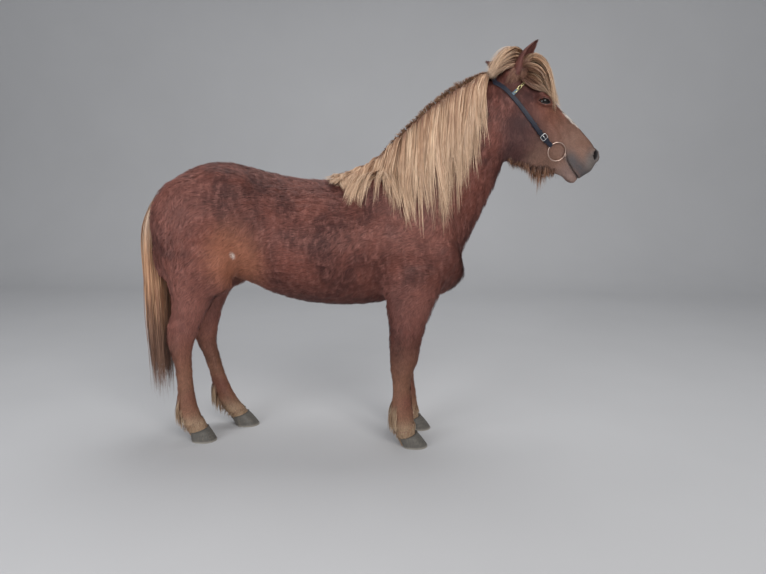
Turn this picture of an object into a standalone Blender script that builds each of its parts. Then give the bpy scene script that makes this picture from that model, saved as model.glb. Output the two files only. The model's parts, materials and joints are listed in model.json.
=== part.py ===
"""An Icelandic horse, standing, at life size, in a leather bridle with a chain browband.

Axes: +X towards the nose, +Y to the horse's left, +Z up. Metres.
The origin is on the ground, under the middle of the whole model.
"""

import math

import bmesh
import bpy
import numpy as np
from mathutils import Matrix, Vector
from mathutils.bvhtree import BVHTree

# Driving dimensions of the body, measured over the coat.
WITHERS_HEIGHT = 1.375
CROUP_HEIGHT = 1.412

# The body's mesh: size of its first grid, rounds of smoothing, triangles it keeps.
VOXEL = 0.006
SMOOTHING_ROUNDS = 60
BODY_TRIANGLES = 5000

# The space between neighbouring nodes, and the smaller one that is cut around hair.
GAP = 0.0003
HAIR_GAP = 0.00018

# Vertices this near each other count as touching, and are moved this far apart.
TWIN_DISTANCE = 0.000002
TWIN_SHIFT = 0.00002

# The head's own frame: s runs from the poll to the lips, t towards the forehead.
POLL = Vector((0.665, 0.0, 1.815))
HEAD_PITCH = math.radians(46.3)
HEAD_ALONG = Vector((math.cos(HEAD_PITCH), 0.0, -math.sin(HEAD_PITCH)))
HEAD_UP = Vector((math.sin(HEAD_PITCH), 0.0, math.cos(HEAD_PITCH)))

# Corners of a body section, and sections made between each two of the tables below.
RING_SIDES = 28
STEPS_BETWEEN = 5

# Torso sections: top (x, z), bottom (x, z), half widths high, middle and low, squareness.
TORSO = [
    ((-1.020, 1.205), (-1.025, 1.040), 0.045, 0.075, 0.050, 0.95),
    ((-0.975, 1.300), (-0.990, 0.950), 0.110, 0.165, 0.110, 0.90),
    ((-0.900, 1.356), (-0.910, 0.880), 0.165, 0.225, 0.150, 0.85),
    ((-0.800, 1.398), (-0.800, 0.850), 0.195, 0.255, 0.175, 0.85),
    ((-0.700, CROUP_HEIGHT), (-0.690, 0.845), 0.200, 0.262, 0.175, 0.85),
    ((-0.580, 1.393), (-0.575, 0.805), 0.185, 0.250, 0.170, 0.88),
    ((-0.450, 1.358), (-0.445, 0.750), 0.170, 0.262, 0.185, 0.90),
    ((-0.300, 1.331), (-0.300, 0.712), 0.160, 0.285, 0.200, 0.92),
    ((-0.150, 1.327), (-0.150, 0.698), 0.150, 0.290, 0.195, 0.94),
    ((-0.010, 1.350), (0.000, 0.702), 0.115, 0.272, 0.180, 0.96),
    ((0.090, WITHERS_HEIGHT), (0.130, 0.722), 0.085, 0.250, 0.160, 0.98),
    ((0.190, 1.345), (0.250, 0.748), 0.085, 0.228, 0.150, 0.98),
    ((0.290, 1.260), (0.360, 0.744), 0.095, 0.195, 0.135, 0.95),
    ((0.380, 1.140), (0.450, 0.788), 0.095, 0.158, 0.118, 0.92),
    ((0.460, 1.035), (0.506, 0.850), 0.060, 0.096, 0.066, 0.92),
]

NECK = [
    ((-0.020, 1.330), (0.380, 0.900), 0.080, 0.190, 0.130, 0.95),
    ((0.060, 1.395), (0.468, 0.935), 0.060, 0.180, 0.125, 0.95),
    ((0.150, 1.490), (0.520, 1.030), 0.048, 0.150, 0.105, 0.95),
    ((0.250, 1.592), (0.566, 1.130), 0.044, 0.124, 0.088, 0.95),
    ((0.350, 1.680), (0.612, 1.230), 0.044, 0.106, 0.078, 0.95),
    ((0.460, 1.752), (0.652, 1.325), 0.044, 0.096, 0.072, 0.95),
    ((0.560, 1.793), (0.684, 1.420), 0.044, 0.090, 0.066, 0.95),
    ((0.640, 1.812), (0.730, 1.520), 0.040, 0.080, 0.055, 0.95),
]


def head_point(s, t, y=0.0):
    """A point given in the head's own frame."""
    point = POLL + HEAD_ALONG * s + HEAD_UP * t
    point.y = y
    return point


# Head sections: s and t of the top, s and t of the bottom, half widths, squareness.
HEAD = [
    ((-0.040, -0.010), (0.060, -0.120), 0.040, 0.060, 0.040, 0.90),
    ((0.000, 0.010), (0.130, -0.190), 0.056, 0.082, 0.052, 0.85),
    ((0.060, 0.045), (0.195, -0.240), 0.068, 0.090, 0.056, 0.80),
    ((0.120, 0.068), (0.255, -0.262), 0.074, 0.097, 0.058, 0.78),
    ((0.180, 0.079), (0.305, -0.262), 0.077, 0.100, 0.054, 0.76),
    ((0.240, 0.080), (0.350, -0.248), 0.070, 0.096, 0.048, 0.76),
    ((0.300, 0.078), (0.390, -0.222), 0.056, 0.086, 0.043, 0.78),
    ((0.360, 0.080), (0.430, -0.192), 0.045, 0.073, 0.038, 0.80),
    ((0.420, 0.083), (0.468, -0.164), 0.039, 0.061, 0.034, 0.82),
    ((0.480, 0.083), (0.510, -0.140), 0.037, 0.055, 0.032, 0.84),
    ((0.530, 0.079), (0.548, -0.122), 0.038, 0.055, 0.032, 0.86),
    ((0.572, 0.069), (0.580, -0.105), 0.036, 0.053, 0.030, 0.88),
    ((0.598, 0.048), (0.602, -0.080), 0.028, 0.042, 0.024, 0.90),
    ((0.610, 0.022), (0.612, -0.048), 0.014, 0.022, 0.012, 0.90),
]

# Leg sections, hoof to body: front (x, z), back (x, z), y, half widths, squareness.
FORELEG = [
    ((0.275, 0.035), (0.190, 0.000), 0.118, 0.040, 0.048, 0.034, 0.95),
    ((0.262, 0.075), (0.172, 0.040), 0.118, 0.040, 0.048, 0.034, 0.95),
    ((0.258, 0.115), (0.150, 0.085), 0.118, 0.034, 0.043, 0.032, 0.95),
    ((0.253, 0.160), (0.137, 0.135), 0.118, 0.034, 0.044, 0.032, 0.95),
    ((0.249, 0.210), (0.135, 0.195), 0.119, 0.032, 0.041, 0.026, 0.95),
    ((0.241, 0.270), (0.146, 0.265), 0.120, 0.029, 0.035, 0.021, 0.95),
    ((0.240, 0.335), (0.143, 0.335), 0.121, 0.031, 0.038, 0.024, 0.95),
    ((0.251, 0.385), (0.137, 0.385), 0.122, 0.040, 0.048, 0.032, 0.90),
    ((0.272, 0.440), (0.132, 0.445), 0.123, 0.042, 0.051, 0.034, 0.90),
    ((0.289, 0.530), (0.128, 0.535), 0.125, 0.044, 0.056, 0.038, 0.92),
    ((0.313, 0.620), (0.124, 0.625), 0.128, 0.050, 0.066, 0.047, 0.92),
    ((0.348, 0.705), (0.112, 0.710), 0.133, 0.060, 0.078, 0.056, 0.92),
    ((0.390, 0.800), (0.105, 0.800), 0.140, 0.066, 0.086, 0.066, 0.92),
    ((0.415, 0.900), (0.130, 0.900), 0.140, 0.066, 0.090, 0.070, 0.92),
]

HINDLEG = [
    ((-0.795, 0.050), (-0.885, 0.005), 0.112, 0.038, 0.046, 0.033, 0.95),
    ((-0.812, 0.092), (-0.905, 0.045), 0.112, 0.038, 0.046, 0.033, 0.95),
    ((-0.832, 0.130), (-0.932, 0.090), 0.112, 0.033, 0.042, 0.031, 0.95),
    ((-0.848, 0.175), (-0.952, 0.145), 0.112, 0.033, 0.043, 0.031, 0.95),
    ((-0.858, 0.225), (-0.956, 0.205), 0.112, 0.031, 0.040, 0.025, 0.95),
    ((-0.866, 0.300), (-0.952, 0.290), 0.112, 0.028, 0.034, 0.021, 0.95),
    ((-0.868, 0.390), (-0.958, 0.385), 0.113, 0.031, 0.036, 0.023, 0.95),
    ((-0.866, 0.460), (-0.974, 0.455), 0.115, 0.039, 0.046, 0.028, 0.90),
    ((-0.846, 0.520), (-0.992, 0.555), 0.118, 0.042, 0.050, 0.022, 0.90),
    ((-0.815, 0.590), (-0.972, 0.640), 0.121, 0.044, 0.054, 0.022, 0.92),
    ((-0.775, 0.670), (-0.952, 0.725), 0.126, 0.056, 0.072, 0.040, 0.92),
    ((-0.720, 0.745), (-0.965, 0.820), 0.133, 0.070, 0.092, 0.062, 0.92),
    ((-0.665, 0.830), (-0.992, 0.930), 0.140, 0.084, 0.112, 0.080, 0.92),
    ((-0.650, 0.940), (-1.020, 1.040), 0.142, 0.090, 0.115, 0.090, 0.92),
    ((-0.660, 1.060), (-1.015, 1.140), 0.138, 0.080, 0.110, 0.080, 0.92),
]

# Muscles that stand out under the coat: centre, radii, pitch in degrees about Y.
MUSCLES = [
    ((0.170, 0.118, 1.120), (0.260, 0.078, 0.120), 52.0),
    ((0.385, 0.098, 0.965), (0.095, 0.080, 0.120), 0.0),
    ((0.215, 0.150, 0.900), (0.150, 0.065, 0.135), 30.0),
    ((-0.850, 0.130, 1.140), (0.180, 0.118, 0.210), 20.0),
    ((-0.745, 0.155, 0.985), (0.130, 0.085, 0.210), -15.0),
    ((-0.950, 0.105, 1.030), (0.080, 0.085, 0.200), 10.0),
    ((-0.695, 0.150, 0.860), (0.075, 0.062, 0.100), 0.0),
    ((-0.640, 0.125, 1.280), (0.150, 0.090, 0.095), 10.0),
]


def section(top, bottom, y, high, middle, low, square, sides=RING_SIDES):
    """One ring in the plane of the line top to bottom and the Y axis."""
    ring = []
    for i in range(sides):
        turn = math.tau * i / sides
        down = (1.0 - math.cos(turn)) / 2.0
        width = high * (2 * down - 1) * (down - 1)
        width += middle * 4 * down * (1 - down)
        width += low * down * (2 * down - 1)
        across = math.copysign(abs(math.sin(turn)) ** square, math.sin(turn)) * width
        x = top[0] + (bottom[0] - top[0]) * down
        z = top[1] + (bottom[1] - top[1]) * down
        ring.append((x, y + across, z))
    return ring


def smooth_rows(rows, steps=STEPS_BETWEEN):
    """Rows of numbers, with steps - 1 more between each two, on a smooth curve."""
    rows = np.array(rows, float)
    ends = np.vstack([2 * rows[0] - rows[1], rows, 2 * rows[-1] - rows[-2]])
    made = []
    for i in range(1, len(ends) - 2):
        a, b, c, d = ends[i - 1 : i + 3]
        for k in range(steps):
            u = k / steps
            bend = (2 * a - 5 * b + 4 * c - d) * u**2 + (3 * b - a - 3 * c + d) * u**3
            made.append(0.5 * (2 * b + (c - a) * u + bend))
    made.append(rows[-1])
    return made


def mesh_object(name, points, faces):
    """An object with a new mesh, in the scene."""
    mesh = bpy.data.meshes.new(name)
    mesh.from_pydata([tuple(p) for p in points], [], faces)
    mesh.update()
    obj = bpy.data.objects.new(name, mesh)
    bpy.context.scene.collection.objects.link(obj)
    return obj


def face_outwards(obj):
    """Turns every face of a closed mesh to point out."""
    shape = bmesh.new()
    shape.from_mesh(obj.data)
    bmesh.ops.recalc_face_normals(shape, faces=shape.faces)
    if shape.calc_volume(signed=True) < 0:
        bmesh.ops.reverse_faces(shape, faces=shape.faces)
    shape.to_mesh(obj.data)
    shape.free()
    return obj


def loft(name, rings):
    """A closed body through rings of equal count, with flat ends."""
    count = len(rings[0])
    points = [p for ring in rings for p in ring]
    faces = [tuple(range(count))[::-1], tuple(range(len(points) - count, len(points)))]
    for r in range(len(rings) - 1):
        for i in range(count):
            j = (i + 1) % count
            faces.append((r * count + i, r * count + j, (r + 1) * count + j, (r + 1) * count + i))
    return face_outwards(mesh_object(name, points, faces))


def trunk(name, stations):
    """A body on the middle plane from its sections."""
    rows = [(*top, *bottom, *rest) for top, bottom, *rest in stations]
    rings = [section(r[0:2], r[2:4], 0.0, *r[4:8]) for r in smooth_rows(rows)]
    return loft(name, rings)


def skull(name):
    """The head without its bumps and hollows."""
    rows = [(*top, *bottom, *rest) for top, bottom, *rest in HEAD]
    rings = []
    for r in smooth_rows(rows):
        top, bottom = head_point(r[0], r[1]), head_point(r[2], r[3])
        rings.append(section((top.x, top.z), (bottom.x, bottom.z), 0.0, *r[4:8]))
    return loft(name, rings)


def leg(name, stations, side, stride):
    """A leg on one side. stride(z) moves it along X."""
    rows = [(*front, *back, *rest) for front, back, *rest in stations]
    rings = []
    for r in smooth_rows(rows):
        front, back = (r[0] + stride(r[1]), r[1]), (r[2] + stride(r[3]), r[3])
        rings.append(section(front, back, side * r[4], *r[5:9]))
    return loft(name, rings)


def blob(name, centre, radii, pitch=0.0, rings=16, sides=24):
    """An ellipsoid, its X radius turned down by pitch degrees."""
    shape = bmesh.new()
    turn = Matrix.Rotation(math.radians(pitch), 4, "Y")
    place = Matrix.Translation(centre) @ turn @ Matrix.Diagonal((*radii, 1.0))
    bmesh.ops.create_uvsphere(shape, u_segments=sides, v_segments=rings, radius=1.0, matrix=place)
    obj = mesh_object(name, [], [])
    shape.to_mesh(obj.data)
    shape.free()
    return obj


def joined(name, pieces):
    """One object holding the meshes of all the pieces, which may overlap."""
    shape = bmesh.new()
    for piece in pieces:
        shape.from_mesh(piece.data)
    obj = mesh_object(name, [], [])
    shape.to_mesh(obj.data)
    shape.free()
    for piece in pieces:
        bpy.data.objects.remove(piece, do_unlink=True)
    return obj


def apply_modifiers(obj):
    """Bakes the modifiers of an object into its mesh."""
    graph = bpy.context.evaluated_depsgraph_get()
    graph.update()
    mesh = bpy.data.meshes.new_from_object(obj.evaluated_get(graph))
    old = obj.data
    obj.modifiers.clear()
    obj.data = mesh
    bpy.data.meshes.remove(old)
    return obj


def triangulate(obj):
    """Splits every face into triangles."""
    shape = bmesh.new()
    shape.from_mesh(obj.data)
    bmesh.ops.triangulate(shape, faces=shape.faces)
    shape.to_mesh(obj.data)
    shape.free()


def boolean(obj, others, operation, solver="MANIFOLD"):
    """Joins, cuts or crosses obj with all the others at once, and removes them."""
    group = bpy.data.collections.new("others")
    triangulate(obj)
    for other in others:
        triangulate(other)
        group.objects.link(other)
    modifier = obj.modifiers.new("boolean", "BOOLEAN")
    modifier.operation = operation
    modifier.operand_type = "COLLECTION"
    modifier.collection = group
    modifier.solver = solver
    apply_modifiers(obj)
    for other in others:
        bpy.data.objects.remove(other, do_unlink=True)
    bpy.data.collections.remove(group)
    return obj


def part_twins(shape):
    """Moves vertices that share one place slightly apart, each into its own side."""
    twins = bmesh.ops.find_doubles(shape, verts=shape.verts, dist=TWIN_DISTANCE)["targetmap"]
    shape.normal_update()
    moved = set(twins.keys()) | set(twins.values())
    moves = [(vertex, vertex.normal * TWIN_SHIFT) for vertex in moved]
    for vertex, move in moves:
        vertex.co -= move


def keep_largest(obj):
    """Keeps only the largest closed surface of a mesh."""
    shape = bmesh.new()
    shape.from_mesh(obj.data)
    bmesh.ops.triangulate(shape, faces=shape.faces)
    seen, best, best_volume = set(), [], -1.0
    for start in shape.faces:
        if start.index in seen:
            continue
        island, todo = [], [start]
        seen.add(start.index)
        while todo:
            face = todo.pop()
            island.append(face)
            for edge in face.edges:
                for other in edge.link_faces:
                    if other.index not in seen:
                        seen.add(other.index)
                        todo.append(other)
        volume = sum(f.verts[0].co.dot(f.verts[1].co.cross(f.verts[2].co)) for f in island) / 6.0
        if abs(volume) > best_volume:
            best, best_volume = island, abs(volume)
    kept = set(best)
    bmesh.ops.delete(shape, geom=[f for f in shape.faces if f not in kept], context="FACES")
    part_twins(shape)
    shape.to_mesh(obj.data)
    shape.free()
    return obj


def half_space(point, normal, size=3.0):
    """A large box that fills the side of a plane that its normal points to."""
    normal = Vector(normal).normalized()
    turn = normal.to_track_quat("Z", "Y").to_matrix().to_4x4()
    place = Matrix.Translation(Vector(point)) @ turn @ Matrix.Translation((0, 0, size / 2))
    shape = bmesh.new()
    bmesh.ops.create_cube(shape, size=size, matrix=place)
    obj = mesh_object("half", [], [])
    shape.to_mesh(obj.data)
    shape.free()
    return obj


def trim(obj, planes):
    """Removes what lies on the normal's side of each plane."""
    for point, normal in planes:
        boolean(obj, [half_space(point, normal)], "DIFFERENCE", "EXACT")
    return keep_largest(obj)


def copy_of(obj, name):
    """A second object with a mesh of its own."""
    twin = bpy.data.objects.new(name, obj.data.copy())
    bpy.context.scene.collection.objects.link(twin)
    return twin


def grown(obj, distance):
    """A copy of a mesh whose surface is moved out by a small distance."""
    twin = copy_of(obj, obj.name + "_grown")
    twin.data.update()
    shape = bmesh.new()
    shape.from_mesh(twin.data)
    shape.normal_update()
    moves = [v.normal * distance * min(v.calc_shell_factor(), 2.5) for v in shape.verts]
    for vertex, move in zip(shape.verts, moves):
        vertex.co += move
    shape.to_mesh(twin.data)
    shape.free()
    return twin


def clear_of(obj, neighbours, distance=GAP):
    """Cuts obj so that it stays a small distance clear of its neighbours."""
    for neighbour in neighbours:
        boolean(obj, [grown(neighbour, distance)], "DIFFERENCE")
    return keep_largest(obj)


def edge_arrays(mesh):
    """The two ends of every edge."""
    pairs = np.empty(len(mesh.edges) * 2, int)
    mesh.edges.foreach_get("vertices", pairs)
    return pairs[0::2], pairs[1::2]


def relax(obj, rounds, strength):
    """Moves each vertex towards its neighbours' middle, strength(points) deciding how far."""
    mesh = obj.data
    count = len(mesh.vertices)
    points = np.empty(count * 3)
    mesh.vertices.foreach_get("co", points)
    points = points.reshape(-1, 3)
    a, b = edge_arrays(mesh)
    degree = np.maximum(np.bincount(a, minlength=count) + np.bincount(b, minlength=count), 1)
    amount = strength(points)[:, None]
    for _ in range(rounds):
        middle = np.empty_like(points)
        for axis in range(3):
            total = np.bincount(a, points[b, axis], count) + np.bincount(b, points[a, axis], count)
            middle[:, axis] = total / degree
        points = points + (middle - points) * amount
    mesh.vertices.foreach_set("co", points.ravel())
    mesh.update()


def remeshed(obj, voxel):
    """Turns overlapping forms into one closed surface."""
    modifier = obj.modifiers.new("remesh", "REMESH")
    modifier.mode = "VOXEL"
    modifier.voxel_size = voxel
    return apply_modifiers(obj)


def near(points, centre, radius):
    """1 at a centre, falling to 0 at a radius."""
    far = np.linalg.norm(points - np.array(centre), axis=1) / radius
    return np.clip(1.0 - far, 0.0, 1.0)


# Places where the forms flow into each other: centre, radius.
BLENDS = [
    ((0.700, 0.0, 1.480), 0.20),
    ((0.600, 0.0, 1.780), 0.12),
    ((0.420, 0.0, 0.960), 0.26),
    ((0.150, 0.0, 1.200), 0.32),
    ((0.260, 0.0, 0.760), 0.24),
    ((-0.700, 0.0, 0.840), 0.26),
    ((-0.980, 0.0, 1.100), 0.22),
    ((-0.820, 0.0, 1.050), 0.30),
]


def junction_strength(points):
    """How far each place is smoothed: strong on the trunk, slight on the head and lower legs."""
    strength = np.full(len(points), 0.34)
    for centre, radius in BLENDS:
        flat = points.copy()
        flat[:, 1] *= 0.6
        strength = np.maximum(strength, np.clip(1.6 * near(flat, centre, radius), 0.0, 0.6))
    legs = np.clip((points[:, 2] - 0.50) / 0.25, 0.0, 1.0)
    head = np.clip((0.80 - points[:, 0]) / 0.12, 0.0, 1.0)
    return strength * np.minimum(0.12 + 0.88 * legs, 0.09 + 0.91 * head)


def fineness(points):
    """How much detail each place keeps: most at the eyes and nostrils, none on the trunk."""
    flat = points * (1, 0, 1)
    fine = np.clip((points[:, 0] - 0.66) / 0.10, 0.0, 1.0) * 0.12
    fine = np.maximum(fine, np.clip(near(flat, (0.839, 0, 1.676), 0.07) * 1.6, 0.0, 0.42))
    fine = np.maximum(fine, np.clip(near(flat, (1.080, 0, 1.420), 0.09) * 1.4, 0.0, 0.28))
    return np.maximum(fine, np.clip((0.70 - points[:, 2]) / 0.1, 0.0, 0.09))


def thinned(obj, triangles, weights):
    """Collapses edges down to a triangle count, keeping more where weights are high."""
    mesh = obj.data
    count = sum(len(p.vertices) - 2 for p in mesh.polygons)
    points = np.empty(len(mesh.vertices) * 3)
    mesh.vertices.foreach_get("co", points)
    values = weights(points.reshape(-1, 3))
    group = obj.vertex_groups.new(name="coarse")
    for index, value in enumerate(values):
        group.add([index], float(1.0 - value), "REPLACE")
    modifier = obj.modifiers.new("decimate", "DECIMATE")
    modifier.ratio = triangles / count
    modifier.vertex_group = "coarse"
    modifier.vertex_group_factor = 1.0
    apply_modifiers(obj)
    obj.vertex_groups.clear()
    return obj


def near_stride(z):
    """The right legs stand as their tables say."""
    return 0.0


def far_fore_stride(z):
    """The left fore foot stands a little ahead of the right one."""
    return 0.018 * max(0.0, 1.0 - z / 0.75)


def far_hind_stride(z):
    """The left hind foot stands ahead of the right one."""
    return 0.165 * max(0.0, 1.0 - z / 0.75) ** 1.2


def flesh_forms():
    """The overlapping closed forms that make up the body."""
    forms = [trunk("trunk", TORSO), trunk("neck_form", NECK), skull("skull")]
    forms.append(leg("fore_r", FORELEG, -1, near_stride))
    forms.append(leg("fore_l", FORELEG, 1, far_fore_stride))
    forms.append(leg("hind_r", HINDLEG, -1, near_stride))
    forms.append(leg("hind_l", HINDLEG, 1, far_hind_stride))
    for centre, radii, pitch in MUSCLES:
        for side in (-1, 1):
            forms.append(blob("muscle", (centre[0], side * centre[1], centre[2]), radii, pitch))
    return forms + head_forms()


EYE = Vector((0.839, 0.072, 1.676))
EYE_RADIUS = 0.0205
NOSTRIL = Vector((1.088, 0.056, 1.438))


def head_blob(s, t, y, radii, pitch=0.0):
    """An ellipsoid in the head's frame: radii along the head, across and up."""
    return blob("bump", head_point(s, t, y), radii, math.degrees(HEAD_PITCH) + pitch, 12, 18)


def head_forms():
    """Cheeks, brows, cheekbones, nostrils, lips and chin."""
    forms = []
    for side in (-1, 1):
        forms.append(head_blob(0.265, -0.125, side * 0.048, (0.105, 0.045, 0.100)))
        forms.append(head_blob(0.215, 0.040, side * 0.062, (0.048, 0.026, 0.026)))
        forms.append(head_blob(0.300, -0.018, side * 0.066, (0.105, 0.018, 0.014), 6.0))
        forms.append(head_blob(0.558, 0.036, side * 0.034, (0.046, 0.024, 0.034)))
        forms.append(head_blob(0.560, -0.020, side * 0.028, (0.050, 0.026, 0.034)))
        forms.append(blob("lid", (EYE.x, side * EYE.y, EYE.z), (0.033, 0.024, 0.027), 14.0, 12, 18))
        forms.append(head_blob(0.020, 0.008, side * 0.050, (0.045, 0.030, 0.040)))
    forms.append(head_blob(0.585, -0.012, 0.0, (0.034, 0.036, 0.040)))
    forms.append(head_blob(0.562, -0.098, 0.0, (0.046, 0.030, 0.026)))
    forms.append(head_blob(0.400, 0.058, 0.0, (0.150, 0.026, 0.026)))
    return forms


# The cuts between the body's nodes: a point on each plane and its normal.
NECK_CUT = (Vector((0.220, 0.0, 1.165)), Vector((0.47, 0.0, 0.44)).normalized())
HEAD_CUT = (Vector((0.635, 0.0, 1.5925)), Vector((0.971, 0.0, 0.240)).normalized())
LEG_TOP = 0.690
FORE_HOOF = (0.262, 0.118)
HIND_HOOF = (-0.822, 0.112)
HOOF_LENGTH = 0.128
HOOF_WIDTH = 0.108
CORONET_FRONT = 0.078
CORONET_BACK = 0.040


def coronet_height(x, centre_x):
    """The height of the coronet plane over a hoof whose sole centre is at centre_x."""
    along = (x - centre_x) / HOOF_LENGTH + 0.5
    return CORONET_BACK + (CORONET_FRONT - CORONET_BACK) * along


def hoof_ring(centre_x, centre_y, length, width, height_at, sides=14):
    """A ring around a hoof, rounder at the toe than at the heel."""
    ring = []
    for i in range(sides):
        turn = math.tau * i / sides
        x = math.cos(turn)
        x = math.copysign(abs(x) ** (0.9 if x > 0 else 0.6), x) * length / 2
        x, y = centre_x + x, centre_y + math.sin(turn) * width / 2
        ring.append((x, y, height_at(x)))
    return ring


def hoof(name, centre_x, centre_y):
    """A hoof with a flat sole on the ground and a sloping top."""
    top_x = centre_x - 0.022
    rings = [
        hoof_ring(centre_x, centre_y, HOOF_LENGTH - 0.004, HOOF_WIDTH - 0.004, lambda x: 0.0),
        hoof_ring(centre_x, centre_y, HOOF_LENGTH, HOOF_WIDTH, lambda x: 0.004),
        hoof_ring(centre_x - 0.012, centre_y, HOOF_LENGTH - 0.012, HOOF_WIDTH - 0.006,
                  lambda x: coronet_height(x, top_x) * 0.5),
        hoof_ring(top_x, centre_y, HOOF_LENGTH - 0.026, HOOF_WIDTH - 0.012,
                  lambda x: coronet_height(x, top_x) - GAP),
    ]
    return loft(name, rings)


def coronet_plane(centre_x, centre_y):
    """The plane of the top of a hoof, its normal down, for cutting off the leg."""
    slope = (CORONET_FRONT - CORONET_BACK) / HOOF_LENGTH
    point = Vector((centre_x - 0.022, centre_y, (CORONET_FRONT + CORONET_BACK) / 2))
    return point, Vector((slope, 0.0, -1.0)).normalized()


FEET = {
    "foreleg_right": (FORE_HOOF[0], -FORE_HOOF[1]),
    "foreleg_left": (FORE_HOOF[0] + far_fore_stride(0.0), FORE_HOOF[1]),
    "hindleg_right": (HIND_HOOF[0], -HIND_HOOF[1]),
    "hindleg_left": (HIND_HOOF[0] + far_hind_stride(0.0), HIND_HOOF[1]),
}


def split_body(body):
    """Cuts the whole body into its nodes along thin planes."""
    half = GAP / 2
    down, up = Vector((0, 0, -1)), Vector((0, 0, 1))
    neck_point, neck_normal = NECK_CUT
    head_spot, head_normal = HEAD_CUT
    nodes = {
        "head": trim(copy_of(body, "head"), [(head_spot + head_normal * half, -head_normal)]),
        "neck": trim(
            copy_of(body, "neck"),
            [
                (head_spot - head_normal * half, head_normal),
                (neck_point + neck_normal * half, -neck_normal),
            ],
        ),
        "torso": trim(
            copy_of(body, "torso"),
            [(neck_point - neck_normal * half, neck_normal), ((0, 0, LEG_TOP + half), down)],
        ),
    }
    for name, (foot_x, foot_y) in FEET.items():
        ahead = Vector((-1 if foot_x > -0.3 else 1, 0, 0))
        beside = Vector((0, -1 if foot_y > 0 else 1, 0))
        planes = [((0, 0, LEG_TOP - half), up), ((-0.3, 0, 0), ahead), ((0, 0, 0), beside)]
        planes.append(coronet_plane(foot_x, foot_y))
        nodes[name] = trim(copy_of(body, name), planes)
    bpy.data.objects.remove(body, do_unlink=True)
    return nodes


def eye(name, side):
    """An eyeball, which shows between the lids."""
    return blob(name, (EYE.x, side * EYE.y, EYE.z), (EYE_RADIUS,) * 3, 0.0, 8, 10)


def lid_opening(side):
    """A lens-shaped prism that opens the lids over an eye."""
    rings = []
    for out in (0.000, 0.060):
        ring = []
        for i in range(12):
            turn = math.tau * i / 12
            x, z = 0.0215 * math.cos(turn), 0.0125 * math.sin(turn) * (1.0 if math.sin(turn) > 0 else 0.75)
            x, z = x + 0.10 * z, z - 0.16 * x
            ring.append((EYE.x + x * (1 + 4 * out), side * (EYE.y + out), EYE.z + z * (1 + 4 * out)))
        rings.append(ring)
    return loft("opening", rings)


def carve_head(head):
    """Cuts the eye sockets, the nostrils and the mouth line into the head."""
    cutters = []
    for side in (-1, 1):
        cutters.append(blob("socket", (EYE.x, side * EYE.y, EYE.z), (EYE_RADIUS + GAP,) * 3, 0.0, 8, 10))
        cutters.append(lid_opening(side))
        nostril = (NOSTRIL.x, side * NOSTRIL.y, NOSTRIL.z)
        cutters.append(blob("nostril", nostril, (0.011, 0.022, 0.025), 12.0, 7, 10))
        cutters.append(mouth_groove(side))
    boolean(head, cutters, "DIFFERENCE")
    return keep_largest(head)


# The line of the closed lips in the head's frame, and half the head's width along it.
MOUTH = [(0.466, -0.052), (0.495, -0.061), (0.525, -0.069),
         (0.555, -0.074), (0.585, -0.076), (0.630, -0.074)]
MOUTH_HALF_WIDTH = [0.046, 0.043, 0.041, 0.039, 0.032, 0.004]


def mouth_groove(side):
    """A thin blade along the closed lips of one side."""
    rings = []
    for (s, t), wide in zip(MOUTH, MOUTH_HALF_WIDTH):
        inner, outer = side * max(wide - 0.012, 0.001), side * (wide + 0.030)
        ring = [head_point(s, t - 0.0002, inner), head_point(s, t - 0.0040, outer)]
        rings.append([tuple(p) for p in ring + [head_point(s, t + 0.0040, outer)]])
    return loft("groove", rings)


# Places along an ear and its half width there.
EAR_WIDTHS = [(-0.16, 0.030), (0.02, 0.031), (0.22, 0.034), (0.42, 0.033),
              (0.62, 0.026), (0.80, 0.017), (0.93, 0.008), (1.0, 0.002)]


def ear(name, base, tip, bend, open_to):
    """A cupped ear: crescent sections from base to tip, open towards a direction."""
    base, tip, open_to = Vector(base), Vector(tip), Vector(open_to).normalized()
    along = (tip - base).normalized()
    front = (open_to - along * open_to.dot(along)).normalized()
    across = along.cross(front)
    rings = []
    for u, wide in EAR_WIDTHS:
        centre = base.lerp(tip, u) + front * bend * (max(u, 0.0) ** 2 - max(u, 0.0))
        shell = 0.0035 + 0.002 * (1 - u)
        outer, inner = [], []
        for i in range(7):
            turn = math.radians(-100 + 200 * i / 6)
            way = across * math.sin(turn) - front * math.cos(turn) * 0.95
            outer.append(centre + way * wide)
            inner.append(centre + way * max(wide - shell, wide * 0.35))
        rings.append([tuple(p) for p in outer + inner[::-1]])
    return loft(name, rings)


def ears():
    """The right ear is up and forward; the left one is turned back."""
    right = ear("ear_right", (0.722, -0.062, 1.812), (0.797, -0.076, 1.947), 0.030, (0.75, -0.65, 0.0))
    left = ear("ear_left", (0.712, 0.062, 1.812), (0.590, 0.104, 1.884), -0.020, (-0.25, 0.90, 0.10))
    return right, left


# Hair. Each lock is a flat, tapered, bending strip whose root is sunk into its node.
rng = np.random.default_rng(64)
LOCK_THICK = 0.009


def spread(low, high):
    """A seeded number between two limits."""
    return low + (high - low) * rng.random()


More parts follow.
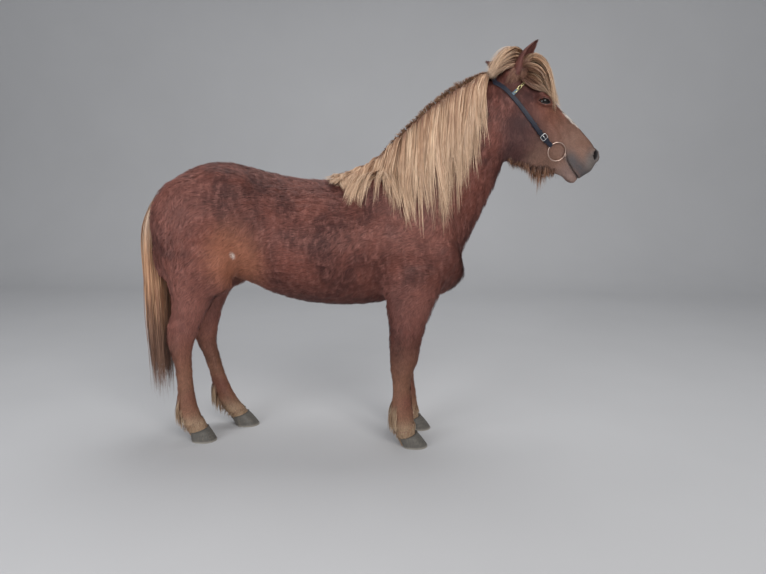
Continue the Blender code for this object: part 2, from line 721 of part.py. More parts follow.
class Surface:
    """Distances and directions from one or more closed meshes."""

    def __init__(self, objects):
        points, faces = [], []
        for obj in objects:
            start = len(points)
            points += [v.co.copy() for v in obj.data.vertices]
            faces += [[start + i for i in p.vertices] for p in obj.data.polygons]
        self.tree = BVHTree.FromPolygons(points, faces)

    def inside(self, point):
        """Whether a line from the point crosses the surface an odd number of times."""
        way, start, crossings = Vector((0.31, -0.87, 0.38)).normalized(), point.copy(), 0
        while crossings < 12:
            hit, _, _, _ = self.tree.ray_cast(start, way)
            if hit is None:
                break
            crossings += 1
            start = hit + way * 0.00001
        return crossings % 2 == 1

    def push(self, point, clear):
        """The point moved out until it is at least clear away from the surface."""
        nearest, normal, _, distance = self.tree.find_nearest(point)
        if self.inside(point):
            return nearest + normal * clear, normal
        away = (point - nearest).normalized() if distance > 0.0005 else normal
        if distance >= clear:
            return point, away
        return nearest + away * clear, away


def drape(surface, root, start, rise, clear, length, steps, lean):
    """A path that rises from a root, turns over and hangs down at a distance from a surface."""
    way, down = Vector(start).normalized(), Vector(lean).normalized()
    point = Vector(root)
    path, normals = [point], [way]
    for k in range(steps):
        step = rise if k == 0 else (length - rise) / (steps - 1)
        if k == 1:
            step *= 0.7
        if k > 0:
            way = way.lerp(down, 0.62).normalized()
        moved, normal = surface.push(point + way * step, clear)
        way = (moved - point).normalized()
        point = moved
        path.append(point)
        normals.append(normal)
    return path, normals


def taper(u):
    """The width of a lock along its length, as a share of its full width."""
    return (0.36 + 2.3 * u) if u < 0.28 else max(0.10, 1.0 - 0.9 * ((u - 0.28) / 0.72) ** 1.5)


def lock(path, normals, width, thick):
    """A flat tapered strip along a path, thin at its edges, ending in a tip."""
    rings, last = [], len(path) - 1
    for k, (point, normal) in enumerate(zip(path, normals)):
        ahead = path[min(k + 1, last)] - path[max(k - 1, 0)]
        ahead.normalize()
        side = ahead.cross(normal)
        side = side.normalized() if side.length > 1e-6 else Vector((1, 0, 0))
        face = side.cross(ahead).normalized()
        w = width * taper(k / last) / 2
        h = thick * (0.35 + 0.65 * taper(k / last)) / 2
        rings.append([tuple(point + d) for d in (side * w, face * h, -side * w, -face * h)])
    return loft("lock", rings)


def fused(node, locks):
    """Joins the locks to the node they grow from, as one closed surface."""
    return keep_largest(boolean(node, locks, "UNION"))


# The crest line the mane grows from: x, z at the root and x, z of the lower end of the hair.
MANE = [
    ((-0.105, 1.345), (-0.120, 1.300)),
    ((-0.040, 1.352), (-0.075, 1.240)),
    ((0.040, 1.385), (0.000, 1.160)),
    ((0.110, 1.448), (0.060, 1.105)),
    ((0.180, 1.520), (0.150, 1.120)),
    ((0.260, 1.600), (0.260, 1.060)),
    ((0.340, 1.668), (0.350, 1.070)),
    ((0.420, 1.724), (0.425, 1.100)),
    ((0.500, 1.766), (0.480, 1.200)),
    ((0.545, 1.784), (0.545, 1.300)),
    ((0.568, 1.792), (0.590, 1.480)),
]


def mane_at(u):
    """The root and the lower end of the hair at a share of the crest's length."""
    at = u * (len(MANE) - 1)
    i = min(int(at), len(MANE) - 2)
    part = at - i
    (ax, az), (bx, bz) = MANE[i]
    (cx, cz), (dx, dz) = MANE[i + 1]
    root = Vector((ax + (cx - ax) * part, 0.0, az + (cz - az) * part))
    end = Vector((bx + (dx - bx) * part, 0.0, bz + (dz - bz) * part))
    return root, end


def curve(points, count):
    """Points along a cubic curve with four controls."""
    a, b, c, d = points
    made = []
    for k in range(count):
        u = k / (count - 1)
        made.append(a * (1 - u) ** 3 + b * 3 * u * (1 - u) ** 2 + c * 3 * u * u * (1 - u) + d * u**3)
    return made


# The mane's layers: locks, distance from the coat, share of the full length.
MANE_LAYERS = [(10, 0.012, 0.94), (11, 0.027, 1.00)]
CREST_LENGTH = 0.82


def mane_locks(surface):
    """Layers of locks that rise from the crest and fall over the horse's right side."""
    locks = []
    for layer, (count, clear, share) in enumerate(MANE_LAYERS):
        width = min(0.95 * CREST_LENGTH / count, 0.071)
        for i in range(count):
            u = (i + 0.30 + 0.45 * (layer % 2) + spread(-0.06, 0.06)) / count
            root, end = mane_at(min(u, 0.985))
            root += Vector((0.0, -0.016 + 0.013 * layer, -0.020))
            fall = root.z - end.z
            rise = 0.026 + 1.3 * clear + 0.03 * min(fall, 0.3)
            length = (fall + 0.06) * share * spread(0.92, 1.06)
            lean = (end.x - root.x + spread(-0.01, 0.01), 0.0, -fall)
            path, normals = drape(surface, root, (-0.12, -0.30, 1.0), rise, clear, length, 4, lean)
            locks.append(lock(path, normals, width, LOCK_THICK))
    return locks


def over_forehead(surface, y_root, y_end, s_end, reach, clear, count=6):
    """A path from between the ears that arches over the forehead."""
    controls = [
        head_point(0.060 - 0.032 * reach, 0.018, y_root),
        head_point(0.000, 0.018 + 0.17 * reach, y_root),
        head_point(0.63 * s_end, 0.04 + 0.15 * reach, y_end),
        head_point(s_end, 0.092, y_end),
    ]
    path = curve(controls, count)
    path = path[:1] + [surface.push(p, clear)[0] for p in path[1:]]
    return path, [HEAD_UP.copy() for _ in path]


def over_poll(surface, y_root, y_end, reach, clear, count=5):
    """A path from between the ears that arches back to the poll."""
    controls = [
        head_point(0.025, 0.010, y_root),
        head_point(-0.005, 0.02 + 0.13 * reach, y_root),
        head_point(-0.075, 0.01 + 0.11 * reach, y_end),
        head_point(-0.058, -0.030, y_end),
    ]
    path = curve(controls, count)
    path = path[:1] + [surface.push(p, clear)[0] for p in path[1:]]
    return path, [Vector((0.2, -0.3, 1.0)).normalized() for _ in path]


def forelock_locks(surface):
    """Locks forward over the forehead in two layers, and locks back to the poll."""
    locks = []
    for i in range(10):
        u, outer = (i + 0.5) / 10, i % 3
        s_end = 0.30 - 0.07 * abs(u - 0.5) + spread(-0.03, 0.02)
        reach = 0.32 + 0.32 * outer + spread(-0.04, 0.04)
        y_root, y_end = -0.034 + 0.068 * u, -0.070 + 0.125 * u
        path, normals = over_forehead(surface, y_root, y_end, s_end, reach, 0.010 + 0.013 * outer)
        locks.append(lock(path, normals, spread(0.034, 0.042), LOCK_THICK))
    for i in range(4):
        u, outer = (i + 0.5) / 4, i % 2
        y_root, y_end = -0.026 + 0.050 * u, -0.060 + 0.085 * u
        path, normals = over_poll(surface, y_root, y_end, 0.95 - 0.30 * outer, 0.010 + 0.012 * outer)
        locks.append(lock(path, normals, spread(0.028, 0.038), LOCK_THICK))
    return locks


def beard_locks():
    """Hair that hangs from the underside of the jaw."""
    locks = []
    for i in range(5):
        u = (i + 0.5) / 5
        side = -1 if i % 2 else 1
        top = head_point(0.365 + 0.105 * u, -0.200 + 0.040 * u, side * 0.012)
        drop = (0.085 - 0.075 * abs(u - 0.5)) * spread(0.85, 1.1)
        middle = top + Vector((-0.008, side * 0.004, -0.045))
        tip = top + Vector((-0.002, side * 0.006, -0.035 - drop))
        face = Vector((0.3 * side, 1, 0)).normalized()
        locks.append(lock([top, middle, tip], [face] * 3, spread(0.024, 0.034), LOCK_THICK))
    return locks


def feather_locks(name):
    """Long hair from behind the fetlock down to the heel."""
    foot_x, foot_y = FEET[name]
    back = 0.094 if name.startswith("fore") else 0.104
    locks = []
    for i in range(4):
        turn = math.radians(-66 + 132 * i / 3)
        out = Vector((-math.cos(turn), math.sin(turn), 0.0))
        high = 0.205 - 0.035 * (i % 2) + spread(-0.01, 0.01)
        top = Vector((foot_x - back + 0.030, foot_y, high)) + out * 0.022
        low = 0.048 + 0.016 * (i % 2) + 0.02 * abs(math.sin(turn)) + spread(0, 0.01)
        middle = top + out * 0.018 + Vector((0.004, 0, (low - high) * 0.45))
        tip = Vector((foot_x - back + 0.046, foot_y, low)) + out * (0.046 + 0.006 * (i % 2))
        locks.append(lock([top, middle, tip], [out] * 3, spread(0.042, 0.048), LOCK_THICK))
    return locks


# The tail's shells of locks: locks, share of the full girth, lowest end.
TAIL_SHELLS = [(6, 0.66, 0.300), (9, 1.00, 0.235)]
TAIL_GIRTH = (0.046, 0.086)
TAIL_AXIS = -1.076


def tail_core():
    """The dock and the dense middle of the tail, which ends half way down the hair."""
    rows = [
        (-1.015, 1.240, 0.018, 0.026),
        (-1.048, 1.200, 0.027, 0.036),
        (-1.070, 1.120, 0.030, 0.042),
        (TAIL_AXIS, 1.000, 0.022, 0.036),
        (TAIL_AXIS, 0.850, 0.018, 0.034),
        (TAIL_AXIS, 0.740, 0.010, 0.018),
    ]
    rings = []
    for x, z, half_x, half_y in smooth_rows(rows, 2):
        turns = [math.tau * i / 10 for i in range(10)]
        rings.append([
            (x + math.cos(turn) * half_x, math.sin(turn) * half_y, z + 0.3 * math.cos(turn) * half_x)
            for turn in turns
        ])
    return loft("tail", rings)


def tail_locks():
    """Two shells of locks around the dock that hang down past the hocks."""
    locks = []
    for count, girth, end in TAIL_SHELLS:
        half_x, half_y = TAIL_GIRTH[0] * girth, TAIL_GIRTH[1] * girth
        width = 0.94 * math.tau * math.sqrt((half_x**2 + half_y**2) / 2) / count
        for i in range(count):
            turn = math.tau * (i + spread(-0.12, 0.12)) / count
            round_x, round_y = math.cos(turn), math.sin(turn)
            high, low = 1.02 + 0.17 * girth + spread(-0.03, 0.0), end + spread(0.0, 0.09)
            path = [Vector((-1.068 + 0.010 * round_x, 0.020 * round_y, high))]
            for k in range(1, 6):
                u = k / 5
                full = min(1.0, 0.55 + 1.3 * u) * (1.0 - 0.40 * max(0.0, u - 0.55) / 0.45)
                x = TAIL_AXIS + half_x * round_x * full + 0.005 * math.sin(2.2 * u + 0.7 * i)
                path.append(Vector((x, half_y * round_y * full, high + (low - high) * u)))
            locks.append(lock(path, [Vector((round_x, round_y, 0.1))] * 6, width, LOCK_THICK))
    return locks


# The bridle: a strap over the poll and down both cheeks, ring bits and a chain browband.
STRAP_WIDTH = 0.022
STRAP_THICK = 0.0045
# Points of the strap's middle line: s, t in the head's frame, from near the poll to the ring.
STRAP_LINE = [(0.001, -0.067), (0.050, -0.060), (0.106, -0.060), (0.160, -0.064), (0.217, -0.070),
              (0.260, -0.075), (0.296, -0.079), (0.344, -0.080), (0.372, -0.080), (0.392, -0.079)]
POLL_TOP = Vector((0.604, 0.0, 1.840))
RING_CENTRE = (0.430, -0.076)
RING_RADIUS = 0.0425
RING_CORNERS = 14
RING_PLAY = 0.0005
BUCKLE_PLACE = (0.338, -0.0795)
BROW_S = 0.098
LINK_SPACING = 0.029
LINK_HALF = (0.0163, 0.0072)


def onto(surface, start, target):
    """Where the line from start to target meets a surface, and the normal there."""
    way = (target - start).normalized()
    hit, normal, _, _ = surface.tree.ray_cast(start, way)
    return hit, normal


def cheek_point(surface, s, t, side):
    """The point of the cheek's surface beside a place given in the head's frame."""
    start = head_point(s, t, side * 0.30)
    return onto(surface, start, head_point(s, t, 0.0))


def strap_path(surface):
    """The strap's middle line on the surface, from the right ring over the poll to the left one."""
    line = smooth_rows(STRAP_LINE, 2)
    right = [cheek_point(surface, s, t, -1) for s, t in line[::-1]]
    left = [cheek_point(surface, s, t, 1) for s, t in line]
    over = []
    for i in range(11):
        turn = math.radians(-75 + 15 * i)
        x = POLL_TOP.x + 0.014 * abs(math.sin(turn))
        start = Vector((x, 0.30 * math.sin(turn), 1.745 + 0.30 * math.cos(turn)))
        over.append(onto(surface, start, Vector((x, 0.0, 1.745))))
    return right + over + left


def ribbon(name, path, across, low, high):
    """A band along a path of points and normals: across(k) wide, from low(k) to high(k) above it."""
    rings = []
    for k, (point, normal) in enumerate(path):
        ahead = (path[min(k + 1, len(path) - 1)][0] - path[max(k - 1, 0)][0]).normalized()
        side = ahead.cross(normal).normalized()
        face = side.cross(ahead).normalized()
        w = across(k) / 2
        corners = ((w, high(k)), (-w, high(k)), (-w, low(k)), (w, low(k)))
        rings.append([tuple(point + side * a + face * b) for a, b in corners])
    return loft(name, rings)


def ring_loop(centres, out, up, half_out, half_up):
    """A closed loop of square section through centres, given outward and upward directions."""
    points, faces, count = [], [], len(centres)
    for centre, way, lift in zip(centres, out, up):
        for a, b in ((1, 1), (-1, 1), (-1, -1), (1, -1)):
            points.append(tuple(centre + way * half_out * a + lift * half_up * b))
    for i in range(count):
        j = (i + 1) % count
        for k in range(4):
            m = (k + 1) % 4
            faces.append((i * 4 + k, i * 4 + m, j * 4 + m, j * 4 + k))
    return face_outwards(mesh_object("loop", points, faces))


def cheek_frame(surface, s, t, side, lift):
    """A point held over the cheek, with directions along the head, up the head and outwards."""
    point, _ = cheek_point(surface, s, t, side)
    ahead, _ = cheek_point(surface, s + 0.035, t, side)
    behind, _ = cheek_point(surface, s - 0.035, t, side)
    along = (ahead - behind).normalized()
    outward = Vector((0, side, 0))
    outward = (outward - along * outward.dot(along)).normalized()
    up = along.cross(outward) * (1 if side > 0 else -1)
    if up.dot(HEAD_UP) < 0:
        up = -up
    return point + outward * lift, along, up, outward


def bit_ring(name, surface, side):
    """A loose ring at the corner of the mouth, with the end of the bit in it."""
    centre, along, up, outward = cheek_frame(surface, *RING_CENTRE, side, 0.0085)
    centres, ways = [], []
    for i in range(RING_CORNERS):
        turn = math.tau * i / RING_CORNERS
        way = along * math.cos(turn) + up * math.sin(turn)
        ways.append(way)
        centres.append(centre + way * RING_RADIUS)
    ring = ring_loop(centres, ways, [outward] * RING_CORNERS, 0.0026, 0.0026)
    ring.name = name
    way = (along * 0.90 + up * 0.42).normalized()
    middle = centre + way * RING_RADIUS
    rings = []
    turns = [math.tau * i / 8 for i in range(8)]
    for out, wide in ((-0.022, 0.0070), (-0.006, 0.0075), (0.004, 0.0075), (0.0065, 0.005)):
        spot = middle + outward * out
        rings.append([tuple(spot + (along * math.cos(t) + up * math.sin(t)) * wide) for t in turns])
    return fused(ring, [loft("barrel", rings)])


def buckle(name, surface, side):
    """A plain metal frame over the strap."""
    point, along, up, outward = cheek_frame(surface, *BUCKLE_PLACE, side, 0.0066)
    corners = [(1, 1), (0, 1.12), (-1, 1), (-1, -1), (0, -1.12), (1, -1)]
    centres = [point + along * 0.0105 * a + up * 0.0135 * b for a, b in corners]
    ways = [(along * a + up * b).normalized() for a, b in corners]
    frame = ring_loop(centres, ways, [outward] * len(corners), 0.0018, 0.0015)
    frame.name = name
    return frame


def brow_path(surface, count):
    """Points around the forehead from one cheekpiece to the other."""
    path = []
    for i in range(count):
        turn = math.radians(-100 + 200 * i / (count - 1))
        start = head_point(BROW_S, -0.040 + 0.30 * math.cos(turn), 0.30 * math.sin(turn))
        path.append(onto(surface, start, head_point(BROW_S, -0.040, 0.0)))
    return path


def resampled(path, spacing):
    """Points and normals along a path at an even spacing."""
    made, carry = [path[0]], 0.0
    for (a, na), (b, nb) in zip(path, path[1:]):
        length = (b - a).length
        at = spacing - carry
        while at <= length:
            made.append((a.lerp(b, at / length), na.lerp(nb, at / length).normalized()))
            at += spacing
        carry = (carry + length) % spacing
    return made


def browband(surface):
    """A chain of flat links over the forehead, with a leather loop at each end."""
    path = resampled(brow_path(surface, 60), LINK_SPACING)
    links = []
    for k in range(1, len(path) - 2):
        (a, na), (b, nb) = path[k], path[k + 1]
        middle, along, normal = (a + b) / 2, (b - a).normalized(), (na + nb).normalized()
        side = along.cross(normal).normalized()
        lift = 0.0036 if k % 2 else 0.0044
        shape = [(1, 0), (0.5, 1), (-0.5, 1), (-1, 0), (-0.5, -1), (0.5, -1)]
        centres = [middle + normal * lift + along * LINK_HALF[0] * p + side * LINK_HALF[1] * q for p, q in shape]
        ways = [(along * p * 0.5 + side * q).normalized() for p, q in shape]
        links.append(ring_loop(centres, ways, [normal] * len(shape), 0.0016, 0.0018))
    ends = []
    for part_of_path in (path[:3], path[-3:]):
        ends.append(ribbon("end", part_of_path, lambda k: 0.016, lambda k: 0.0012, lambda k: 0.0050))
    band = links[0]
    band.name = "browband"
    return fused(band, links[1:] + ends)


def headstall(surface):
    """The strap over the poll and down both cheeks, thicker where it holds each ring."""
    path = strap_path(surface)
    last = len(path) - 1

    def high(k):
        return 0.0125 if k in (0, 1, last - 1, last) else STRAP_THICK

    return ribbon("headstall", path, lambda k: STRAP_WIDTH, lambda k: -0.001, high)


# Edges bent more than this stay sharp in the shading.
SHARP_ANGLE = math.radians(40)

# Base colour, roughness and metallic value of each material.
LOOKS = {
    "coat": ((0.19, 0.065, 0.040), 0.70, 0.0),
    "horn": ((0.16, 0.13, 0.11), 0.55, 0.0),
    "eye": ((0.020, 0.012, 0.010), 0.08, 0.0),
    "hair": ((0.42, 0.27, 0.16), 0.60, 0.0),
    "strap": ((0.020, 0.024, 0.040), 0.50, 0.0),
    "steel": ((0.62, 0.60, 0.58), 0.25, 1.0),
    "copper": ((0.55, 0.36, 0.27), 0.30, 1.0),
    "brass": ((0.72, 0.60, 0.33), 0.30, 1.0),
}


def material(name, look):
    """A plain surface with one of the looks above."""
    colour, roughness, metallic = LOOKS[look]
    made = bpy.data.materials.new(name)
    made.use_nodes = True
    surface = made.node_tree.nodes["Principled BSDF"]
    surface.inputs["Base Color"].default_value = (*colour, 1.0)
    surface.inputs["Roughness"].default_value = roughness
    surface.inputs["Metallic"].default_value = metallic
    return made


def paint(objects, look):
    """Gives each object a material of its own and smooth shading."""
    for obj in objects:
        obj.data.materials.clear()
        obj.data.materials.append(material(obj.name + "_" + look, look))
        obj.data.shade_smooth()
        obj.data.set_sharp_from_angle(angle=SHARP_ANGLE)


def start_clean():
    """Removes whatever the scene holds."""
    for obj in list(bpy.data.objects):
        bpy.data.objects.remove(obj, do_unlink=True)


def make_body():
    """The whole horse without hair, hooves and ears, as one closed surface."""
    body = joined("body", flesh_forms())
    remeshed(body, VOXEL)
    relax(body, SMOOTHING_ROUNDS, junction_strength)
    return thinned(body, BODY_TRIANGLES, fineness)


def make_hair(nodes, bridle, ear_pair):
    """Grows the locks on the head, neck, legs and tail."""
    flesh = Surface([nodes["neck"], nodes["torso"], nodes["head"]])
    covered = Surface([nodes["head"], nodes["neck"]] + bridle + ear_pair)
    fused(nodes["neck"], mane_locks(flesh))
    fused(nodes["head"], forelock_locks(covered) + beard_locks())
    for name in FEET:
        fused(nodes[name], feather_locks(name))
    nodes["tail"] = fused(tail_core(), tail_locks())


def above_floor(obj):
    """Cuts away whatever comes within a millimetre of the ground."""
    return trim(obj, [((0, 0, 0.001), (0, 0, -1))])


def main():
    """Builds every node and gives it its look."""
    start_clean()
    nodes = split_body(make_body())
    carve_head(nodes["head"])
    head_skin = Surface([nodes["head"]])
    eyes = [eye("eye_right", -1), eye("eye_left", 1)]
    hooves = {name: hoof("hoof_" + name.replace("leg", ""), *foot) for name, foot in FEET.items()}
    ear_pair = [clear_of(e, [nodes["head"], nodes["neck"]]) for e in ears()]
    rings = [bit_ring("bit_right", head_skin, -1), bit_ring("bit_left", head_skin, 1)]
    for ring in rings:
        clear_of(ring, [nodes["head"]])
    under_strap = [nodes["head"], nodes["neck"]]
    strap = clear_of(headstall(Surface(under_strap)), under_strap)
    clear_of(strap, rings, RING_PLAY)
    buckles = [buckle("buckle_right", head_skin, -1), buckle("buckle_left", head_skin, 1)]
    for frame in buckles:
        clear_of(frame, [strap, nodes["head"]])
    band = clear_of(browband(head_skin), [nodes["head"], strap] + ear_pair)
    bridle = [strap, band] + rings + buckles
    make_hair(nodes, bridle, ear_pair)
    clear_of(nodes["head"], [strap, band] + ear_pair, HAIR_GAP)
    clear_of(nodes["neck"], [nodes["head"], nodes["torso"], strap] + ear_pair, HAIR_GAP)
    clear_of(nodes["tail"], [nodes["torso"]])
    for name, foot in hooves.items():
        clear_of(nodes[name], [foot], HAIR_GAP)
        above_floor(nodes[name])
    paint([nodes[n] for n in nodes if n != "tail"] + ear_pair, "coat")
    paint([nodes["tail"]], "hair")
    paint(eyes, "eye")
    paint(hooves.values(), "horn")
    paint([strap], "strap")
    paint([band], "brass")
    paint(rings, "copper")
    paint(buckles, "steel")


main()
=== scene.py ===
# %% [markdown]
# # An Icelandic horse in its winter coat
#
# This lesson dresses a plain CAD model of a horse. The CAD model gives the size, the pose and the
# places of all parts; this script gives the looks: one smooth skin, a coat of real mesh tufts, long
# hair in thousands of flat strands, wet eyes, horn hooves and a small leather bridle.
# Everything is in metres: +X towards the nose, +Y to the horse's left, +Z up.

# %% Load the CAD model as a fixed frame
import json
import math

import bmesh
import bpy
import numpy as np
from mathutils import Matrix, Vector
from mathutils.bvhtree import BVHTree

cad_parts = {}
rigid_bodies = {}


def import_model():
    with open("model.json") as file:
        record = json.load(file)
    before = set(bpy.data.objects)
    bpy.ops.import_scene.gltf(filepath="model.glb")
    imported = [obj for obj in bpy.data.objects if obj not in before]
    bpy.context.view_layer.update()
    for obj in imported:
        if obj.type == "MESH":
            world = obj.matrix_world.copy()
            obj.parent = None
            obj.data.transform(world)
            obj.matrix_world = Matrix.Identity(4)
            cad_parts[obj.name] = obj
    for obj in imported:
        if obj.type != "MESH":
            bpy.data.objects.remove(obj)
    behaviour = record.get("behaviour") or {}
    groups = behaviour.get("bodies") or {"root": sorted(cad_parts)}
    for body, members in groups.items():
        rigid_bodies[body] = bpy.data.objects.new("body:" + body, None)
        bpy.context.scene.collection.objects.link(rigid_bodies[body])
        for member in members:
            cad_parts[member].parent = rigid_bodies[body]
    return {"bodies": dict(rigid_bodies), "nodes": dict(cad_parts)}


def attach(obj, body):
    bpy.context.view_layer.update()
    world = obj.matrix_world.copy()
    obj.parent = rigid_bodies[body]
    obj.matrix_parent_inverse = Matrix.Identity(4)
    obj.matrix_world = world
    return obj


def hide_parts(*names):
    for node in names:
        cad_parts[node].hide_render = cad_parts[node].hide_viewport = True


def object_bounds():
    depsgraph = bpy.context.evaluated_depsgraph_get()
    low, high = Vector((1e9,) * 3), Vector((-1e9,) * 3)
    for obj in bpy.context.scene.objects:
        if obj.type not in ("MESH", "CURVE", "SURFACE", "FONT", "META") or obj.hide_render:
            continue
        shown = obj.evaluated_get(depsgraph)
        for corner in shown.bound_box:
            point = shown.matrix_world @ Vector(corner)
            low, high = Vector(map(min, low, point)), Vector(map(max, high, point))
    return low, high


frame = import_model()
CAD_BOX = [[float(v) for v in corner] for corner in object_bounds()]
print("nodes:", len(frame["nodes"]), "box:", CAD_BOX)

# %% [markdown]
# ## Camera, floor and light
#
# The photographer stood at the horse's right side, with the lens about as high as its back and
# tipped down by almost ten degrees. The camera comes first, so that every later look at the scene
# is from there. A pale floor that curves up behind the horse stands for a studio; large soft lights
# keep the shadows as gentle as those of a cloudy day.

# %% Camera
PHOTO = (766, 574)
LENS_PLACE = (0.28, -3.07, 1.32)
LENS_TILT = math.radians(90.0 - 9.79)
LENS_TURN = math.radians(3.5)

camera_data = bpy.data.cameras.new("camera")
camera_data.sensor_width = 36.0
camera_data.lens = 29.14
camera = bpy.data.objects.new("camera", camera_data)
camera.location = LENS_PLACE
camera.rotation_euler = (LENS_TILT, 0.0, LENS_TURN)
bpy.context.scene.collection.objects.link(camera)
bpy.context.scene.camera = camera
print("camera at", LENS_PLACE)


# %% [markdown]
# ## Small tools for meshes
#
# Most pieces here are worked out as rows of numbers and turned into a mesh at the end. A few short
# helpers do that, read a mesh back into rows, apply modifiers and join pieces.

# %% Helpers that make plain meshes
def mesh_object(name, points, faces):
    """An object at the origin with a new mesh, in the scene."""
    mesh = bpy.data.meshes.new(name)
    mesh.from_pydata([tuple(p) for p in points], [], faces)
    mesh.update()
    obj = bpy.data.objects.new(name, mesh)
    bpy.context.scene.collection.objects.link(obj)
    return obj


def fast_mesh(name, points, faces, smooth=True):
    """An object from numpy arrays, its faces all of one count. Quick for large meshes."""
    points, faces = np.asarray(points, float), np.asarray(faces, int)
    sides = faces.shape[1]
    mesh = bpy.data.meshes.new(name)
    mesh.vertices.add(len(points))
    mesh.vertices.foreach_set("co", points.ravel())
    mesh.loops.add(faces.size)
    mesh.loops.foreach_set("vertex_index", faces.ravel())
    mesh.polygons.add(len(faces))
    mesh.polygons.foreach_set("loop_start", np.arange(0, faces.size, sides))
    mesh.polygons.foreach_set("use_smooth", np.full(len(faces), smooth))
    mesh.update(calc_edges=True)
    obj = bpy.data.objects.new(name, mesh)
    bpy.context.scene.collection.objects.link(obj)
    return obj


def vertex_array(mesh):
    """The places of all vertices, one row each."""
    points = np.empty(len(mesh.vertices) * 3)
    mesh.vertices.foreach_get("co", points)
    return points.reshape(-1, 3)


def normal_array(mesh):
    """The normals of all vertices, one row each."""
    normals = np.empty(len(mesh.vertices) * 3)
    mesh.vertices.foreach_get("normal", normals)
    return normals.reshape(-1, 3)


def baked(obj):
    """Applies an object's modifiers to its mesh and removes them."""
    graph = bpy.context.evaluated_depsgraph_get()
    graph.update()
    mesh = bpy.data.meshes.new_from_object(obj.evaluated_get(graph))
    old = obj.data
    obj.modifiers.clear()
    obj.data = mesh
    bpy.data.meshes.remove(old)
    return obj


def facing_out(obj):
    """Turns every face of a closed mesh to point out."""
    shape = bmesh.new()
    shape.from_mesh(obj.data)
    bmesh.ops.recalc_face_normals(shape, faces=shape.faces)
    if shape.calc_volume(signed=True) < 0:
        bmesh.ops.reverse_faces(shape, faces=shape.faces)
    shape.to_mesh(obj.data)
    shape.free()
    return obj


def joined(name, pieces):
    """One object holding the meshes of all the pieces."""
    shape = bmesh.new()
    for piece in pieces:
        shape.from_mesh(piece.data)
    obj = mesh_object(name, [], [])
    shape.to_mesh(obj.data)
    shape.free()
    for piece in pieces:
        bpy.data.objects.remove(piece, do_unlink=True)
    return obj


def triangle_count(obj):
    """How many triangles a mesh has."""
    totals = np.empty(len(obj.data.polygons), int)
    obj.data.polygons.foreach_get("loop_total", totals)
    return int((totals - 2).sum())


print("mesh helpers ready")

# %% [markdown]
# ## Shader maths
#
# A coat's colour is a long sum of masks. As nodes placed by hand it would fill pages, so one small
# class stands for a socket and lets Python's own signs add the Math nodes. A second class holds a
# material and has a short way to add each other node that the finishes need.

# %% Shader maths written as Python
class Socket:
    """A shader value. Sums and products of values add their Math nodes to the tree."""

    def __init__(self, tree, link):
        self.tree, self.link = tree, link

    def _math(self, operation, *values):
        return self.tree.node("ShaderNodeMath", {"operation": operation}, list(values))

    def __add__(self, other):
        return self._math("ADD", self, other)

    def __sub__(self, other):
        return self._math("SUBTRACT", self, other)

    def __rsub__(self, other):
        return self._math("SUBTRACT", other, self)

    def __mul__(self, other):
        return self._math("MULTIPLY", self, other)

    def __truediv__(self, other):
        return self._math("DIVIDE", self, other)

    __radd__ = __add__
    __rmul__ = __mul__

    def power(self, other):
        return self._math("POWER", self, other)

    def wave(self):
        return self._math("SINE", self)

    def most(self, other):
        return self._math("MAXIMUM", self, other)

    def least(self, other):
        return self._math("MINIMUM", self, other)

    def between(self, low, high):
        """0 up to low, 1 from high on, smooth between them. High may be the smaller one."""
        found = self.tree.node(
            "ShaderNodeMapRange",
            {"interpolation_type": "SMOOTHSTEP", "clamp": True},
            {"Value": self, "From Min": min(low, high), "From Max": max(low, high)},
        )
        return found if low < high else 1.0 - found


